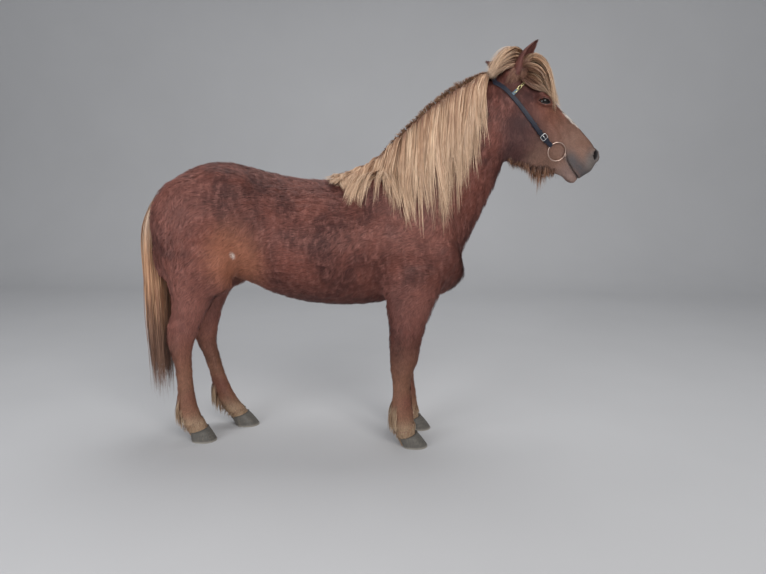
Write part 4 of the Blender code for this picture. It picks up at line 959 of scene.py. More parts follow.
def press_lips(points, normals):
    """Draws the line of the closed lips and rounds the lips beside it."""
    above, s = from_mouth(points)
    share = smooth_step((s - 0.458) / 0.02) * (np.abs(above) < 0.04) * (s < 0.66)
    line = -0.0058 * bell(above, 0.0017) + 0.0020 * bell(np.abs(above) - 0.0085, 0.006)
    corner = -0.003 * bell(above, 0.006) * bell(s - 0.462, 0.008)
    return points + normals * (line * share + corner)[:, None]


skin.data.update()
points = vertex_array(skin.data)
fine = np.maximum.reduce([near_place(points, EYE_PLACE, 0.07), near_place(points, NOSTRIL_PLACE, 0.06)])
points = relaxed(skin.data, points, 6, 0.4 * fine.astype(float))
set_points(skin.data, points)
points = press_lips(points, normal_array(skin.data))
points = press_nostrils(points)
points = press_lids(points)
set_points(skin.data, points)
skin.data.shade_smooth()
print("sculpted", int(fine.sum()), "vertices near the eyes and nostrils")

# %% [markdown]
# ## Cupped ears
#
# An ear is a thin cup: nearly a closed tube where it leaves the head, wide open in the middle and
# pointed at the tip. Each is made from crescent sections, an outer arc and an inner arc a few
# millimetres apart, and belongs to the skin. The right ear listens forward, the left one back.

# %% Ears
EAR_ALONG = [-0.16, 0.02, 0.22, 0.42, 0.62, 0.80, 0.93, 1.0]
EAR_WIDTHS = [0.029, 0.031, 0.033, 0.032, 0.026, 0.017, 0.008, 0.002]

# Each ear's base and tip, how far it bends, and the way it opens.
EARS = {
    "right": (
        Vector((0.722, -0.062, 1.812)), Vector((0.797, -0.076, 1.943)), 0.030, Vector((0.75, -0.65, 0.0)),
    ),
    "left": (
        Vector((0.712, 0.062, 1.812)), Vector((0.592, 0.103, 1.882)), -0.020, Vector((-0.25, 0.90, 0.10)),
    ),
}


def ear_section(centre, across, front, wide, opening, sides=13):
    """One crescent: an outer arc and, the other way round, an inner one."""
    shell = min(0.0035, wide * 0.4)
    outer, inner = [], []
    for i in range(sides):
        turn = opening * (2 * i / (sides - 1) - 1)
        way = across * math.sin(turn) - front * math.cos(turn) * 0.95
        edge = abs(2 * i / (sides - 1) - 1) ** 6
        outer.append(centre + way * wide)
        inner.append(centre + way * (wide - shell * (1.0 - 0.5 * edge)))
    return [tuple(p) for p in outer + inner[::-1]]


def ear(base, tip, bend, open_to):
    """A cupped ear from base to tip, bent towards the side it opens to."""
    along = (tip - base).normalized()
    front = (open_to - along * open_to.dot(along)).normalized()
    across = along.cross(front)
    rings = []
    for i in range(26):
        u = -0.16 + 1.16 * i / 25
        wide = float(np.interp(u, EAR_ALONG, EAR_WIDTHS))
        up = max(u, 0.0)
        centre = base.lerp(tip, u) + front * bend * (up * up - up)
        opening = math.radians(float(np.interp(u, [0.0, 0.3, 1.0], [150, 112, 84])))
        rings.append(ear_section(centre, across, front, wide, opening))
    made = loft("ear", rings)
    made.data.shade_smooth()
    return made


ears = {side: ear(*shape) for side, shape in EARS.items()}
print("ears:", sum(triangle_count(e) for e in ears.values()), "triangles")

# %% [markdown]
# ## The colours of a chestnut
#
# A chestnut coat is never one colour. In winter the long hairs part into darker and lighter flecks
# that follow the lie of the coat; the flank is more orange, the legs fade to tan and end in cream
# over the hooves, and the muzzle is grey and nearly bare. Shade is painted darker under the chest
# and belly, in the flank hollow, along the jaw and at the temple, and light is painted paler on the
# round shoulder, arm, thigh and rump. All of this is written once, as a rule on places, and both the
# skin and the tufts read it, so that a tuft always has the colour of the place it grows from.

# %% The coat's colour as a rule on places
# The darkest chestnut is the colour of the dark flecks and also of the painted shade under the belly, in
# front of the chest and in the flank hollow.
DARK_CHESTNUT_AND_SHADE = (0.082, 0.026, 0.021)
CHESTNUT = (0.190, 0.062, 0.045)
LIGHT_CHESTNUT = (0.310, 0.128, 0.102)
ORANGE = (0.400, 0.155, 0.085)
TAN = (0.290, 0.142, 0.084)
CREAM = (0.410, 0.285, 0.185)
NOSE_TAN = (0.270, 0.160, 0.115)
MUZZLE = (0.155, 0.142, 0.134)
MOUTH_BAND = (0.085, 0.082, 0.088)
LOWER_LIP = (0.270, 0.180, 0.155)
# The colour of the painted shade on the lower cheek along the jaw and at the temple.
HEAD_SHADE = (0.052, 0.023, 0.024)
BARE_SKIN = (0.030, 0.026, 0.027)
WHITE = (0.72, 0.66, 0.60)

# Painted light: shoulder, upper arm, second thigh and rump are painted paler where light falls on their round
# muscles: centre, reach.
PAINTED_LIGHT_PLACES = [
    ((0.26, 0.0, 1.10), 0.26),
    ((0.27, 0.0, 0.72), 0.20),
    ((-0.83, 0.0, 0.70), 0.32),
    ((-0.86, 0.0, 1.24), 0.24),
]


def coat_colour(look):
    """The colour of the coat at each place, with painted shade and painted light on the body and head."""
    x, y, z = look.axes()
    blotches = look.noise(7.5, 3.0, 0.6, stretch=(1.0, 1.0, 0.6), seed=3.0)
    flecks = look.noise(42.0, 4.0, 0.65, stretch=(1.0, 1.0, 0.42), seed=1.0)
    colour = look.mix(blotches.between(0.32, 0.64), DARK_CHESTNUT_AND_SHADE, CHESTNUT)
    colour = look.mix(flecks.between(0.44, 0.74) * 0.70, colour, LIGHT_CHESTNUT)
    colour = look.mix(flecks.between(0.44, 0.28) * 0.40, colour, DARK_CHESTNUT_AND_SHADE)
    flank = look.ball((-0.60, 0.0, 0.95), 0.24, (1.0, 0.2, 0.8)).between(0.0, 0.8)
    colour = look.mix(flank * (0.42 + flecks * 0.50), colour, ORANGE)
    # Painted shade: the hollow of the flank above the stifle fold is darkened.
    colour = look.mix(look.ball((-0.52, 0.0, 1.18), 0.24, (1.0, 0.3, 1.0)) * 0.48, colour, DARK_CHESTNUT_AND_SHADE)
    # Painted shade: the belly and girth between the fore and hind legs are darkened.
    under = z.between(0.92, 0.70) * (x.between(-0.62, -0.45) * x.between(0.42, 0.25))
    colour = look.mix(under * 0.45, colour, DARK_CHESTNUT_AND_SHADE)
    # Painted shade: the lower chest in front of the elbows is darkened.
    colour = look.mix(look.ball((0.44, 0.0, 0.94), 0.20, (1.0, 0.5, 1.0)) * 0.4, colour, DARK_CHESTNUT_AND_SHADE)
    # Painted light on the round muscles of shoulder, arm, thigh and rump.
    for place, reach in PAINTED_LIGHT_PLACES:
        colour = look.mix(look.ball(place, reach, (1.0, 0.3, 1.0)) * 0.65, colour, LIGHT_CHESTNUT)
    pale_leg = z.between(0.62, 0.24) * (0.35 + blotches * 0.75)
    colour = look.mix(pale_leg.least(0.9), colour, TAN)
    joint = look.ball((0.225, 0.0, 0.235), 0.085, (1.0, 0.15, 1.0))
    joint = joint + look.ball((-0.80, 0.0, 0.23), 0.085, (0.5, 0.15, 1.0))
    colour = look.mix(joint.least(1.0) * 0.75, colour, CHESTNUT)
    colour = look.mix(z.between(0.17, 0.085) * (0.5 + flecks * 0.6), colour, CREAM)
    colour = look.mix(z.between(1.835, 1.880) * 0.65, colour, DARK_CHESTNUT_AND_SHADE)
    along = x * HEAD_ALONG.x + z * HEAD_ALONG.z - POLL.dot(HEAD_ALONG)
    on_head = x.between(0.72, 0.80)
    # Painted shade: the lower cheek along the jaw and the temple under the forelock are darkened.
    jowl = look.ball((0.745, 0.0, 1.500), 0.21, (1.0, 0.4, 1.0)).between(0.0, 0.6)
    colour = look.mix(jowl * x.between(0.60, 0.70) * 0.72, colour, HEAD_SHADE)
    brow = look.ball((0.745, 0.0, 1.760), 0.14, (1.0, 0.4, 1.0)).between(0.0, 0.6)
    colour = look.mix(brow * 0.45, colour, HEAD_SHADE)
    colour = look.mix(look.ball((0.885, 0.0, 1.610), 0.14, (1.0, 0.4, 1.0)) * on_head * 0.38, colour, ORANGE)
    colour = look.mix(along.between(0.26, 0.46) * on_head * (0.5 + flecks * 0.5), colour, NOSE_TAN)
    high = x * HEAD_UP.x + z * HEAD_UP.z - POLL.dot(HEAD_UP)
    nose = look.ball((1.115, 0.0, 1.400), 0.120, (1.0, 0.5, 1.0))
    colour = look.mix(nose.between(0.0, 0.6) * 0.85, colour, MUZZLE)
    lower = along.between(0.46, 0.54) * high.between(-0.056, -0.085) * on_head
    colour = look.mix(lower * 0.85, colour, LOWER_LIP)
    above_lip = high.between(-0.080, -0.058) * high.between(0.006, -0.044) * on_head
    colour = look.mix(above_lip * along.between(0.430, 0.510) * (0.5 + flecks * 0.7), colour, MOUTH_BAND)
    off_middle, off_ridge = (along - 0.352) / 0.098, (y + 0.004) / 0.021
    blaze = 1.0 - off_middle * off_middle - off_ridge * off_ridge + (flecks - 0.5) * 1.1
    colour = look.mix(blaze.between(0.0, 0.40) * high.between(0.03, 0.06) * on_head * 0.9, colour, WHITE)
    fleck = look.ball((-0.611, -0.245, 0.962), 0.026, (1.0, 0.3, 0.7)).between(0.0, 0.6)
    return look.mix(fleck * flecks.between(0.36, 0.56) * 0.9, colour, WHITE)


def skin_finish():
    """Short flat fur: the coat's colour, a fine grain along the lie, bare dark skin at the openings."""
    look = Finish("short_coat")
    bare = look.attribute("bare")
    grain = look.noise(420.0, 2.0, 0.6, stretch=(0.5, 1.0, 0.22))
    fur = look.mix(1.0, coat_colour(look), 0.62 + grain * 0.5, "MULTIPLY")
    colour = look.mix(bare, fur, BARE_SKIN)
    pores = look.noise(900.0, 2.0)
    height = grain * (1.0 - bare) + pores * bare * 0.5
    return look.finish(colour, 0.72 - bare * 0.36, 0.0, look.bump(height, 0.0012, 0.6))


def tuft_finish():
    """Coat hair: the colour of its place, with painted shade that darkens it at the root and leaves it
    lighter at the tip.
    """
    look = Finish("coat_tufts")
    # Painted shade: each blade darkens towards its root, as if shaded deep in the coat.
    tone = 0.62 + look.attribute("tone") * 0.52 + look.attribute("along") * 0.42
    colour = look.mix(1.0, coat_colour(look), tone, "MULTIPLY")
    return look.finish(colour, 0.58, Specular_IOR_Level=0.35)


short_coat = skin_finish()
coat_tufts = tuft_finish()
print("coat colours ready")


# %% Where the skin is bare
def bare_places(points):
    """1 where the skin is dark and bare: lid rims, nostrils and lips."""
    rr, _ = almond(both_sides(points))
    lids = near_place(points, EYE_PLACE, 0.06) * smooth_step((1.42 - rr) / 0.30)
    hollow = near_place(points, NOSTRIL_PLACE, 0.05) * smooth_step((1.28 - nostril_distance(points)) / 0.30)
    above, s = from_mouth(points)
    lips = 0.85 * smooth_step((0.011 - np.abs(above)) / 0.007) * smooth_step((s - 0.475) / 0.05)
    return np.clip(np.maximum.reduce([lids, hollow, lips * (s < 0.66)]), 0.0, 1.0)


def store(mesh, name, values):
    """Keeps one number for each vertex, for a material to read."""
    mesh.attributes.new(name, "FLOAT", "POINT").data.foreach_set("value", np.asarray(values, float))


bare = bare_places(vertex_array(skin.data))
print("bare skin at", int((bare > 0.5).sum()), "vertices")

# %% [markdown]
# ## A coat of tufts
#
# A render of fur needs hair that breaks up the outline. Particle hair would not survive an export,
# so each tuft is a tiny blade of real mesh: five corners, three triangles, rooted in the skin, bent
# over along the lie of the coat and ending in a point. Blades are scattered by area; where they are
# small, as on the face, there are more of them. The lie of the coat is a rule on places too: down
# the nose, back along the neck and barrel, down the legs, with gentle swirls that gather the hair
# into the flecks of a winter coat.

# %% The lie, length and width of the coat
rng = np.random.default_rng(2024)
COVERAGE = 3.1


def ripple(points, wavelength, seed):
    """A smooth random field from about -1 to 1."""
    waves = np.random.default_rng(seed)
    total = np.zeros(len(points))
    for _ in range(6):
        way = waves.normal(size=3)
        way *= math.tau / wavelength / np.linalg.norm(way) * waves.uniform(0.6, 1.5)
        total += np.sin(points @ way + waves.uniform(0, math.tau))
    return total / 3.0


def lie_of_coat(points):
    """The way the hair points at each place, before it is laid on the surface."""
    x, z = points[:, 0], points[:, 2]
    s, t = head_frame(points)
    way = np.tile([-0.90, 0.0, -0.42], (len(points), 1))

    def turn_to(share, target):
        way[:] = way * (1 - share)[:, None] + np.array(target) * share[:, None]

    turn_to(smooth_step((x - 0.10) / 0.25) * smooth_step((z - 0.95) / 0.2), (-0.55, 0.0, -0.83))
    turn_to(smooth_step((-0.72 - x) / 0.15), (-0.35, 0.0, -0.93))
    turn_to(smooth_step((0.90 - z) / 0.25) * np.maximum(x > 0.08, x < -0.60), (-0.10, 0.0, -1.0))
    head = head_share(points)
    turn_to(head, (-0.25, 0.0, -0.97))
    turn_to(head * smooth_step((t + 0.10) / 0.08), tuple(HEAD_ALONG))
    turn_to(head * smooth_step((s - 0.34) / 0.12), tuple(HEAD_ALONG))
    return way


def tuft_length(points):
    """How long the hair is at each place."""
    s, t = head_frame(points)
    body = np.interp(points[:, 2], [0.05, 0.12, 0.45, 0.75], [0.009, 0.012, 0.015, 0.027])
    face = np.interp(s, [-0.1, 0.1, 0.3, 0.5, 0.6], [0.024, 0.014, 0.0105, 0.0065, 0.004])
    jaw = smooth_step((-0.13 - t) / 0.05) * smooth_step((0.45 - s) / 0.08) * 0.012
    share = head_share(points)
    return body * (1 - share) + (face + jaw) * share


def tuft_width(lengths):
    """Long tufts are wide, short ones fine."""
    return 0.0006 + 0.098 * lengths


print("on the barrel the tufts are", tuft_length(np.array([[-0.3, 0.25, 1.0]]))[0], "m long")


# %% Scattering roots over a mesh
def scatter(obj, share_of_face, coverage=COVERAGE):
    """Random roots over a mesh: places and normals, denser where the hair is small."""
    corners, points, normals = corner_array(obj.data), vertex_array(obj.data), normal_array(obj.data)
    a, b, c = points[corners[:, 0]], points[corners[:, 1]], points[corners[:, 2]]
    area = np.linalg.norm(np.cross(b - a, c - a), axis=1) / 2
    middle = (a + b + c) / 3
    wanted = area * share_of_face(middle) * coverage
    count = np.floor(wanted + rng.random(len(wanted))).astype(int)
    face = np.repeat(np.arange(len(corners)), count)
    u, v = rng.random(len(face)), rng.random(len(face))
    over = u + v > 1
    u[over], v[over] = 1 - u[over], 1 - v[over]
    chosen = corners[face]
    weights = np.stack([1 - u - v, u, v], axis=1)[:, :, None]
    roots = (points[chosen] * weights).sum(axis=1)
    out = (normals[chosen] * weights).sum(axis=1)
    return roots, out / np.linalg.norm(out, axis=1)[:, None]


def unit(rows):
    """Each row made one long."""
    return rows / np.maximum(np.linalg.norm(rows, axis=1), 1e-9)[:, None]


print("each tuft's area is covered", COVERAGE, "times")

# %% An unwrap of the skin, for the export's colours
CHART_SCALE = 1.0 / 6.0
CHARTS = [
    (1.16, 0.02), (3.50, 0.02), (1.16, 2.04), (3.50, 2.04), (1.16, 4.40),
    (3.50, 4.40), (5.00, 0.02), (5.66, 0.02), (5.00, 2.04), (5.66, 2.04),
]


def unwrap(points, normals):
    """Ten flat charts, by the side of the body that a place is on and the way it faces."""
    x, y, z = points.T
    facing = np.argmax(np.abs(normals) * (1.0, 1.25, 1.0), axis=1)
    outward = normals[:, 1] * y > 0
    chart = np.where(facing == 1, np.where(outward, 0, 2) + (y < 0), 0)
    chart = np.where(facing == 2, np.where(normals[:, 2] > 0, 4, 5), chart)
    chart = np.where(facing == 0, np.where(normals[:, 0] > 0, 6, 8) + (x < -0.3), chart)
    u = np.where(facing == 0, y, x)
    v = np.where(facing == 2, y, z)
    corner = np.array(CHARTS)[chart]
    return (np.stack([u, v], axis=1) + corner) * CHART_SCALE


print("charts:", len(CHARTS))

# %% Blades of mesh
PATCH = 0.003
BLADE_FACES = np.array([(0, 1, 3), (0, 3, 2), (2, 3, 4)])
BLADE_PATCH = np.array([(-0.5, -0.5), (0.5, -0.5), (-0.4, 0.0), (0.4, 0.0), (0.0, 0.5)]) * PATCH


def inside_box(points):
    """The points, none of them outside the box of the solids."""
    low, high = np.array(CAD_BOX)
    return np.clip(points, low + 0.0008, high - 0.0008)


def hair_mesh(name, points, faces, along, tone, patches, normals, look):
    """A piece of hair with what its material and the export read from it."""
    obj = fast_mesh(name, inside_box(points), faces)
    store(obj.data, "along", along)
    store(obj.data, "tone", tone)
    layer = obj.data.uv_layers.new(name="OFBake")
    layer.data.foreach_set("uv", patches[faces.ravel()].ravel())
    obj.data.normals_split_custom_set_from_vertices(normals.tolist())
    obj.data.materials.append(look)
    return obj


def blades(name, roots, out, ways, lengths, widths, rises, look):
    """One piece of coat: a bent, pointed blade of five corners at each root."""
    ways = unit(ways - out * (ways * out).sum(axis=1)[:, None])
    side = np.cross(ways, out)
    count = len(roots)
    long, wide, high = lengths[:, None], widths[:, None] / 2, rises[:, None]
    base = roots - out * 0.0008
    middle = roots + ways * long * 0.42 + out * high * 0.80
    tip = roots + ways * long + out * high
    low, high = side * wide, side * wide * 0.8
    corners = np.stack([base - low, base + low, middle - high, middle + high, tip], axis=1)
    faces = (np.arange(count)[:, None, None] * 5 + BLADE_FACES[None]).reshape(-1, 3)
    along = np.tile([0.0, 0.0, 0.45, 0.45, 1.0], count)
    tone = np.repeat(rng.random(count), 5)
    patches = (unwrap(roots, out)[:, None, :] + BLADE_PATCH[None]).reshape(-1, 2)
    blade_out = unit(np.cross(side, unit(tip - base)))
    soft = np.repeat(unit(out * 0.62 + blade_out * 0.38), 5, axis=0)
    return hair_mesh(name, corners.reshape(-1, 3), faces, along, tone, patches, soft, look)


def tuft_pieces(name, roots, out, ways, lengths, rises, look, most=62000):
    """The coat in as many pieces as keep each under its limit, from nose to tail."""
    order = np.argsort(-roots[:, 0])
    parts = np.array_split(order, max(1, math.ceil(len(order) / most)))
    widths = tuft_width(lengths) * rng.uniform(0.75, 1.25, len(roots))
    made = []
    for i, chosen in enumerate(parts):
        rows = [values[chosen] for values in (roots, out, ways, lengths, widths, rises)]
        made.append(blades(f"{name}_{i + 1}", *rows, look))
    return made


def swirled(ways, out, angles):
    """Directions turned about the normals."""
    ways = unit(ways - out * (ways * out).sum(axis=1)[:, None])
    return ways * np.cos(angles)[:, None] + np.cross(out, ways) * np.sin(angles)[:, None]


EAR_TUFT_AREA = 0.0000062


def ear_coat():
    """Short tufts over both sides of each ear, longer inside, that point to the tip."""
    rows = []
    for side, (base, tip, _, open_to) in EARS.items():
        roots, out = scatter(ears[side], lambda points: np.full(len(points), 1.0 / EAR_TUFT_AREA), 2.6)
        way = np.tile((tip - base).normalized(), (len(roots), 1))
        inner = smooth_step((out @ np.array(open_to.normalized()) - 0.1) / 0.5)
        lengths = (0.0050 + 0.007 * inner) * rng.uniform(0.7, 1.3, len(roots))
        ways = swirled(way, out, rng.normal(0, 0.22, len(roots)))
        rows.append((roots, out, ways, lengths, 0.0010 + 0.002 * inner * rng.random(len(roots))))
    return tuft_pieces("coat_ears", *(np.concatenate(part) for part in zip(*rows)), coat_tufts)


def body_coat():
    """Tufts all over the skin, except where it is bare."""
    def share(points):
        lengths = tuft_length(points)
        return (1.0 - bare_places(points)) / (lengths * tuft_width(lengths))

    roots, out = scatter(skin, share)
    lengths = tuft_length(roots) * rng.uniform(0.75, 1.25, len(roots))
    angles = 0.30 * ripple(roots, 0.30, 5) + 0.42 * ripple(roots, 0.05, 6) + rng.normal(0, 0.16, len(roots))
    ways = swirled(lie_of_coat(roots), out, angles)
    lift = 0.85 + 0.30 * ripple(roots, 0.045, 7) + rng.uniform(-0.25, 0.35, len(roots))
    rises = coat_depth(roots) * np.clip(lift, 0.35, 1.35)
    return tuft_pieces("coat", roots, out, ways, lengths, rises, coat_tufts)


coat = body_coat() + ear_coat()
print("coat:", [triangle_count(piece) for piece in coat])

# %% [markdown]
# ## Long hair
#
# The mane, the forelock, the tail, the beard and the feather over the hooves are strands: flat
# ribbons two or three millimetres wide that narrow to a point. They are made in two steps. First a
# few hundred guide paths, each the middle of a lock, are laid over the body, pushed out where they
# would run into it. Then each guide grows some thirty strands that spread at the root, wander a
# little and draw together towards the tip, which is what makes hair hang in locks.

# %% Paths that keep clear of the body
spread = rng.uniform


def push_out(point, clear):
    """The point moved out until it is at least clear away from the coat."""
    nearest, normal, _, distance = over_coat.find_nearest(point)
    away = point - nearest
    if away.dot(normal) < 0:
        return nearest + normal * clear, normal
    away = away.normalized() if distance > 0.0005 else normal
    return (point, away) if distance >= clear else (nearest + away * clear, away)


def drape(root, start, clear, length, lean, steps=14, turn_over=0.035):
    """A path that leaves a root, turns over and slides and hangs down at a distance from the body."""
    way, down = Vector(start).normalized(), Vector(lean).normalized()
    point, step = Vector(root), length / steps
    path, normals, normal = [point], [way], None
    bend = 1.0 - math.exp(-step / turn_over)
    for k in range(steps):
        target = down
        if normal is not None:
            slide = down + Vector((0.0, -0.45 * max(normal.z, 0.0), 0.0))
            target = (slide - normal * min(slide.dot(normal), 0.0)).normalized()
        way = way.lerp(target, bend if k else 0.0).normalized()
        needed = min(clear, 0.004 + 0.5 * (k + 1) * step)
        aimed = point + way * step
        moved, normal = push_out(aimed, needed)
        normal = normal if (moved - aimed).length > 0.0001 else None
        way = (moved - point).normalized()
        point = moved
        path.append(point)
        normals.append(push_out(point, 0.0)[1])
    return np.array(path), np.array(normals)


def curve(points, count):
    """Points along a cubic curve with four controls."""
    u = np.linspace(0.0, 1.0, count)[:, None]
    a, b, c, d = (np.array(p) for p in points)
    return a * (1 - u) ** 3 + b * 3 * u * (1 - u) ** 2 + c * 3 * u * u * (1 - u) + d * u**3


def softened(path, rounds=2):
    """The path with its kinks smoothed out."""
    path = np.array(path)
    for _ in range(rounds):
        path[1:-1] = 0.5 * path[1:-1] + 0.25 * (path[:-2] + path[2:])
    return path


print("nearest coat to the origin of height 1 m:", over_coat.find_nearest((0.0, 0.0, 1.0))[3], "m off")


# %% Strands along guide paths
def strands(guides, each, width, gather=0.55, wander=0.003, shortest=0.70):
    """Ribbons along guides of (path, normals, lock width, lock depth, tone)."""
    paths = np.array([softened(g[0]) for g in guides])
    faces = np.array([g[1] for g in guides])
    sizes = np.array([g[2:4] for g in guides])
    tones = np.array([g[4] if len(g) > 4 else 0.5 for g in guides])
    count, steps = paths.shape[:2]
    ahead = unit(np.gradient(paths, axis=1).reshape(-1, 3)).reshape(paths.shape)
    side = unit(np.cross(ahead, faces).reshape(-1, 3)).reshape(paths.shape)
    out = np.cross(side, ahead)
    paths, side, out, ahead = (np.repeat(rows, each, axis=0) for rows in (paths, side, out, ahead))
    sizes = np.repeat(sizes, each, axis=0)
    total = count * each
    u = np.linspace(0.0, 1.0, steps)[None, :]
    across, deep = rng.uniform(-1, 1, (total, 1)), rng.uniform(-1, 1, (total, 1))
    reach = rng.uniform(shortest, 1.04, (total, 1))
    full = 1.0 - gather * u**1.4
    phase, waves = rng.uniform(0, math.tau, (total, 1)), rng.uniform(1.2, 3.2, (total, 1))
    wave = np.sin(waves * math.pi * u + phase) * wander * u
    stray = rng.normal(0, 1, (total, 1)) * 1.6 * wander * u * u
    shift = across * sizes[:, :1] / 2 * full + wave + stray
    lift = deep * sizes[:, 1:] / 2 * full + 0.5 * np.roll(wave, 3, axis=0)
    lines = paths + side * shift[..., None] + out * lift[..., None]
    at = u * reach * (steps - 1)
    low = np.clip(at.astype(int), 0, steps - 2)
    part = (at - low)[..., None]
    row = np.arange(total)[:, None]
    lines = lines[row, low] * (1 - part) + lines[row, low + 1] * part
    roll = rng.normal(0, 0.45, (total, 1))[..., None]
    flat = side * np.cos(roll) + out * np.sin(roll)
    thin = width * rng.uniform(0.7, 1.3, (total, 1)) * np.where(u < 0.12, 0.55 + 3.7 * u, 1.0)
    thin = thin * np.clip((1.0 - u) / 0.42, 0.03, 1.0) ** 0.8
    left, right = lines - flat * thin[..., None] / 2, lines + flat * thin[..., None] / 2
    corners = np.stack([left, right], axis=2)
    shade = np.repeat(rng.normal(tones, 0.13), each)[:, None] + rng.normal(0, 0.16, (total, 1))
    facing = unit((out * np.cos(roll) - side * np.sin(roll)).reshape(-1, 3)).reshape(out.shape)
    soft = unit((facing * 0.7 + side * across[..., None] * 0.5).reshape(-1, 3)).reshape(out.shape)
    return corners, np.repeat(u, total, axis=0), np.repeat(shade, steps, axis=1), soft


def hair_patch(roots, steps):
    """The baking layer of strands: each a patch three millimetres across at its root's place."""
    out = unit(roots - np.array(CREST_MIDDLE))
    flat = unwrap(roots, out)[:, None, None, :]
    along = np.linspace(-0.5, 0.5, steps)[None, :, None, None] * PATCH * (0.0, 1.0)
    across = np.array([(-0.5, 0.0), (0.5, 0.0)])[None, None] * PATCH
    return flat + along + across


CREST_MIDDLE = (0.0, 0.0, 1.1)


def hair_piece(name, batches, look):
    """One piece of hair from batches of strands."""
    points, faces, tones, alongs, normals, patches, start = [], [], [], [], [], [], 0
    for corners, along, tone, soft in batches:
        total, steps = corners.shape[:2]
        square = np.array([(0, 1, 3), (0, 3, 2)])
        strip = (np.arange(steps - 1)[:, None, None] * 2 + square[None]).reshape(-1, 3)
        faces.append((np.arange(total)[:, None, None] * steps * 2 + strip[None] + start).reshape(-1, 3))
        points.append(corners.reshape(-1, 3))
        alongs.append(np.repeat(along[..., None], 2, axis=2).ravel())
        tones.append(np.repeat(tone[..., None], 2, axis=2).ravel())
        normals.append(np.repeat(soft[:, :, None, :], 2, axis=2).reshape(-1, 3))
        patches.append(hair_patch(corners[:, 0].mean(axis=1), steps).reshape(-1, 2))
        start += total * steps * 2
    rows = [np.concatenate(values) for values in (points, faces, alongs, tones, patches, normals)]
    return hair_mesh(name, *rows, look)


print("strands ready")

# %% The colours of the hair
HAIR_ROOT = (0.180, 0.075, 0.050)
HAIR_DARK = (0.330, 0.180, 0.110)
FLAXEN = (0.660, 0.420, 0.265)
PALE_FLAXEN = (0.860, 0.640, 0.450)


def hair_shades(look):
    """How far along its strand each place is, its strand's tone, its streak and how light it is."""
    along, tone = look.attribute("along"), look.attribute("tone")
    streak = look.noise(60.0, 2.0, stretch=(1.0, 1.0, 0.12))
    return along, tone, streak, (tone * 0.75 + streak * 0.5).between(0.28, 0.95)


def hair_finish(name, root, dark, light, pale, root_end):
    """Hair: brown at the root, then flaxen, each strand its own shade, streaked along its length."""
    look = Finish(name)
    along, _, streak, shade = hair_shades(look)
    colour = look.mix(shade, dark, light)
    colour = look.mix(shade.between(0.62, 1.0) * 0.6, colour, pale)
    colour = look.mix((along - streak * 0.35 + 0.12).between(root_end, 0.0) * 0.9, colour, root)
    colour = look.mix(along.between(0.50, 1.0) * 0.45, colour, pale)
    return look.finish(colour, 0.46, Specular_IOR_Level=0.4)


MANE_SHADES = (HAIR_ROOT, HAIR_DARK, FLAXEN, PALE_FLAXEN)
FORELOCK_SHADES = (HAIR_ROOT, (0.165, 0.072, 0.046), (0.60, 0.37, 0.22), PALE_FLAXEN)
mane_hair = hair_finish("mane_hair", *MANE_SHADES, 0.30)
forelock_hair = hair_finish("forelock_hair", *FORELOCK_SHADES, 0.40)
print("finishes:", mane_hair.name, forelock_hair.name)

# %% [markdown]
# ### The mane
#
# It grows from the crest in a band three centimetres wide, stands up a little, turns over and falls
# to the right side in four layers, each a little further out and shorter than the one below.

# %% The mane
# The crest from the withers to the poll: root (x, z) and lower end (x, z) of the hair.
MANE = [
    ((-0.105, 1.345), (-0.120, 1.300)),
    ((-0.040, 1.352), (-0.075, 1.240)),
    ((0.040, 1.385), (0.000, 1.160)),
    ((0.110, 1.448), (0.060, 1.105)),
    ((0.180, 1.520), (0.150, 1.120)),
    ((0.260, 1.600), (0.260, 1.060)),
    ((0.340, 1.668), (0.350, 1.070)),
    ((0.420, 1.724), (0.425, 1.100)),
    ((0.500, 1.766), (0.468, 1.210)),
    ((0.545, 1.784), (0.522, 1.325)),
    ((0.568, 1.796), (0.546, 1.450)),
    ((0.590, 1.806), (0.566, 1.570)),
]

# Layers: how many locks, how far off the coat, their share of the length, y of the roots.
MANE_LAYERS = [
    (50, 0.007, 1.00, 0.008),
    (48, 0.014, 0.97, 0.000),
    (42, 0.022, 1.02, -0.006),
    (34, 0.029, 0.80, -0.012),
]


def mane_at(u):
    """The root and the lower end of the hair at a share of the crest's length."""
    at = np.clip(u, 0.0, 1.0) * (len(MANE) - 1)
    rows = np.array(MANE)
    places = np.arange(len(MANE))
    root = [np.interp(at, places, rows[:, 0, 0]), 0.0, np.interp(at, places, rows[:, 0, 1])]
    end = [np.interp(at, places, rows[:, 1, 0]), 0.0, np.interp(at, places, rows[:, 1, 1])]
    return Vector(root), Vector(end)


def mane_guides():
    """The middles of the mane's locks."""
    guides = []
    for layer, (count, clear, share, y) in enumerate(MANE_LAYERS):
        for i in range(count):
            u = (i + 0.5 + spread(-0.35, 0.35)) / count
            root, end = mane_at(u)
            fall = root.z - end.z
            root += Vector((0.0, y, -0.012 - 0.4 * abs(y)))
            length = (fall + 0.07) * share * spread(0.84, 1.08)
            lean = (end.x - root.x + spread(-0.035, 0.035), 0.0, -fall)
            flat = max(0.0, 1.0 - u / 0.16)
            start = (-0.15 - 0.25 * flat, -0.22 - 0.1 * layer - 0.5 * flat, 1.0 - 0.55 * flat)
            path, normals = drape(root, start, clear + spread(-0.002, 0.003), length, lean)
            front = max(0.0, (u - 0.7) / 0.3)
            forward = spread(-0.012, 0.052) * (1.0 - 0.8 * flat - 0.9 * front)
            path[:, 0] += forward * np.linspace(0.0, 1.0, len(path)) ** 3.0
            guides.append((path, normals, spread(0.026, 0.046), 0.010))
    return guides


CREST_LOCKS = 220


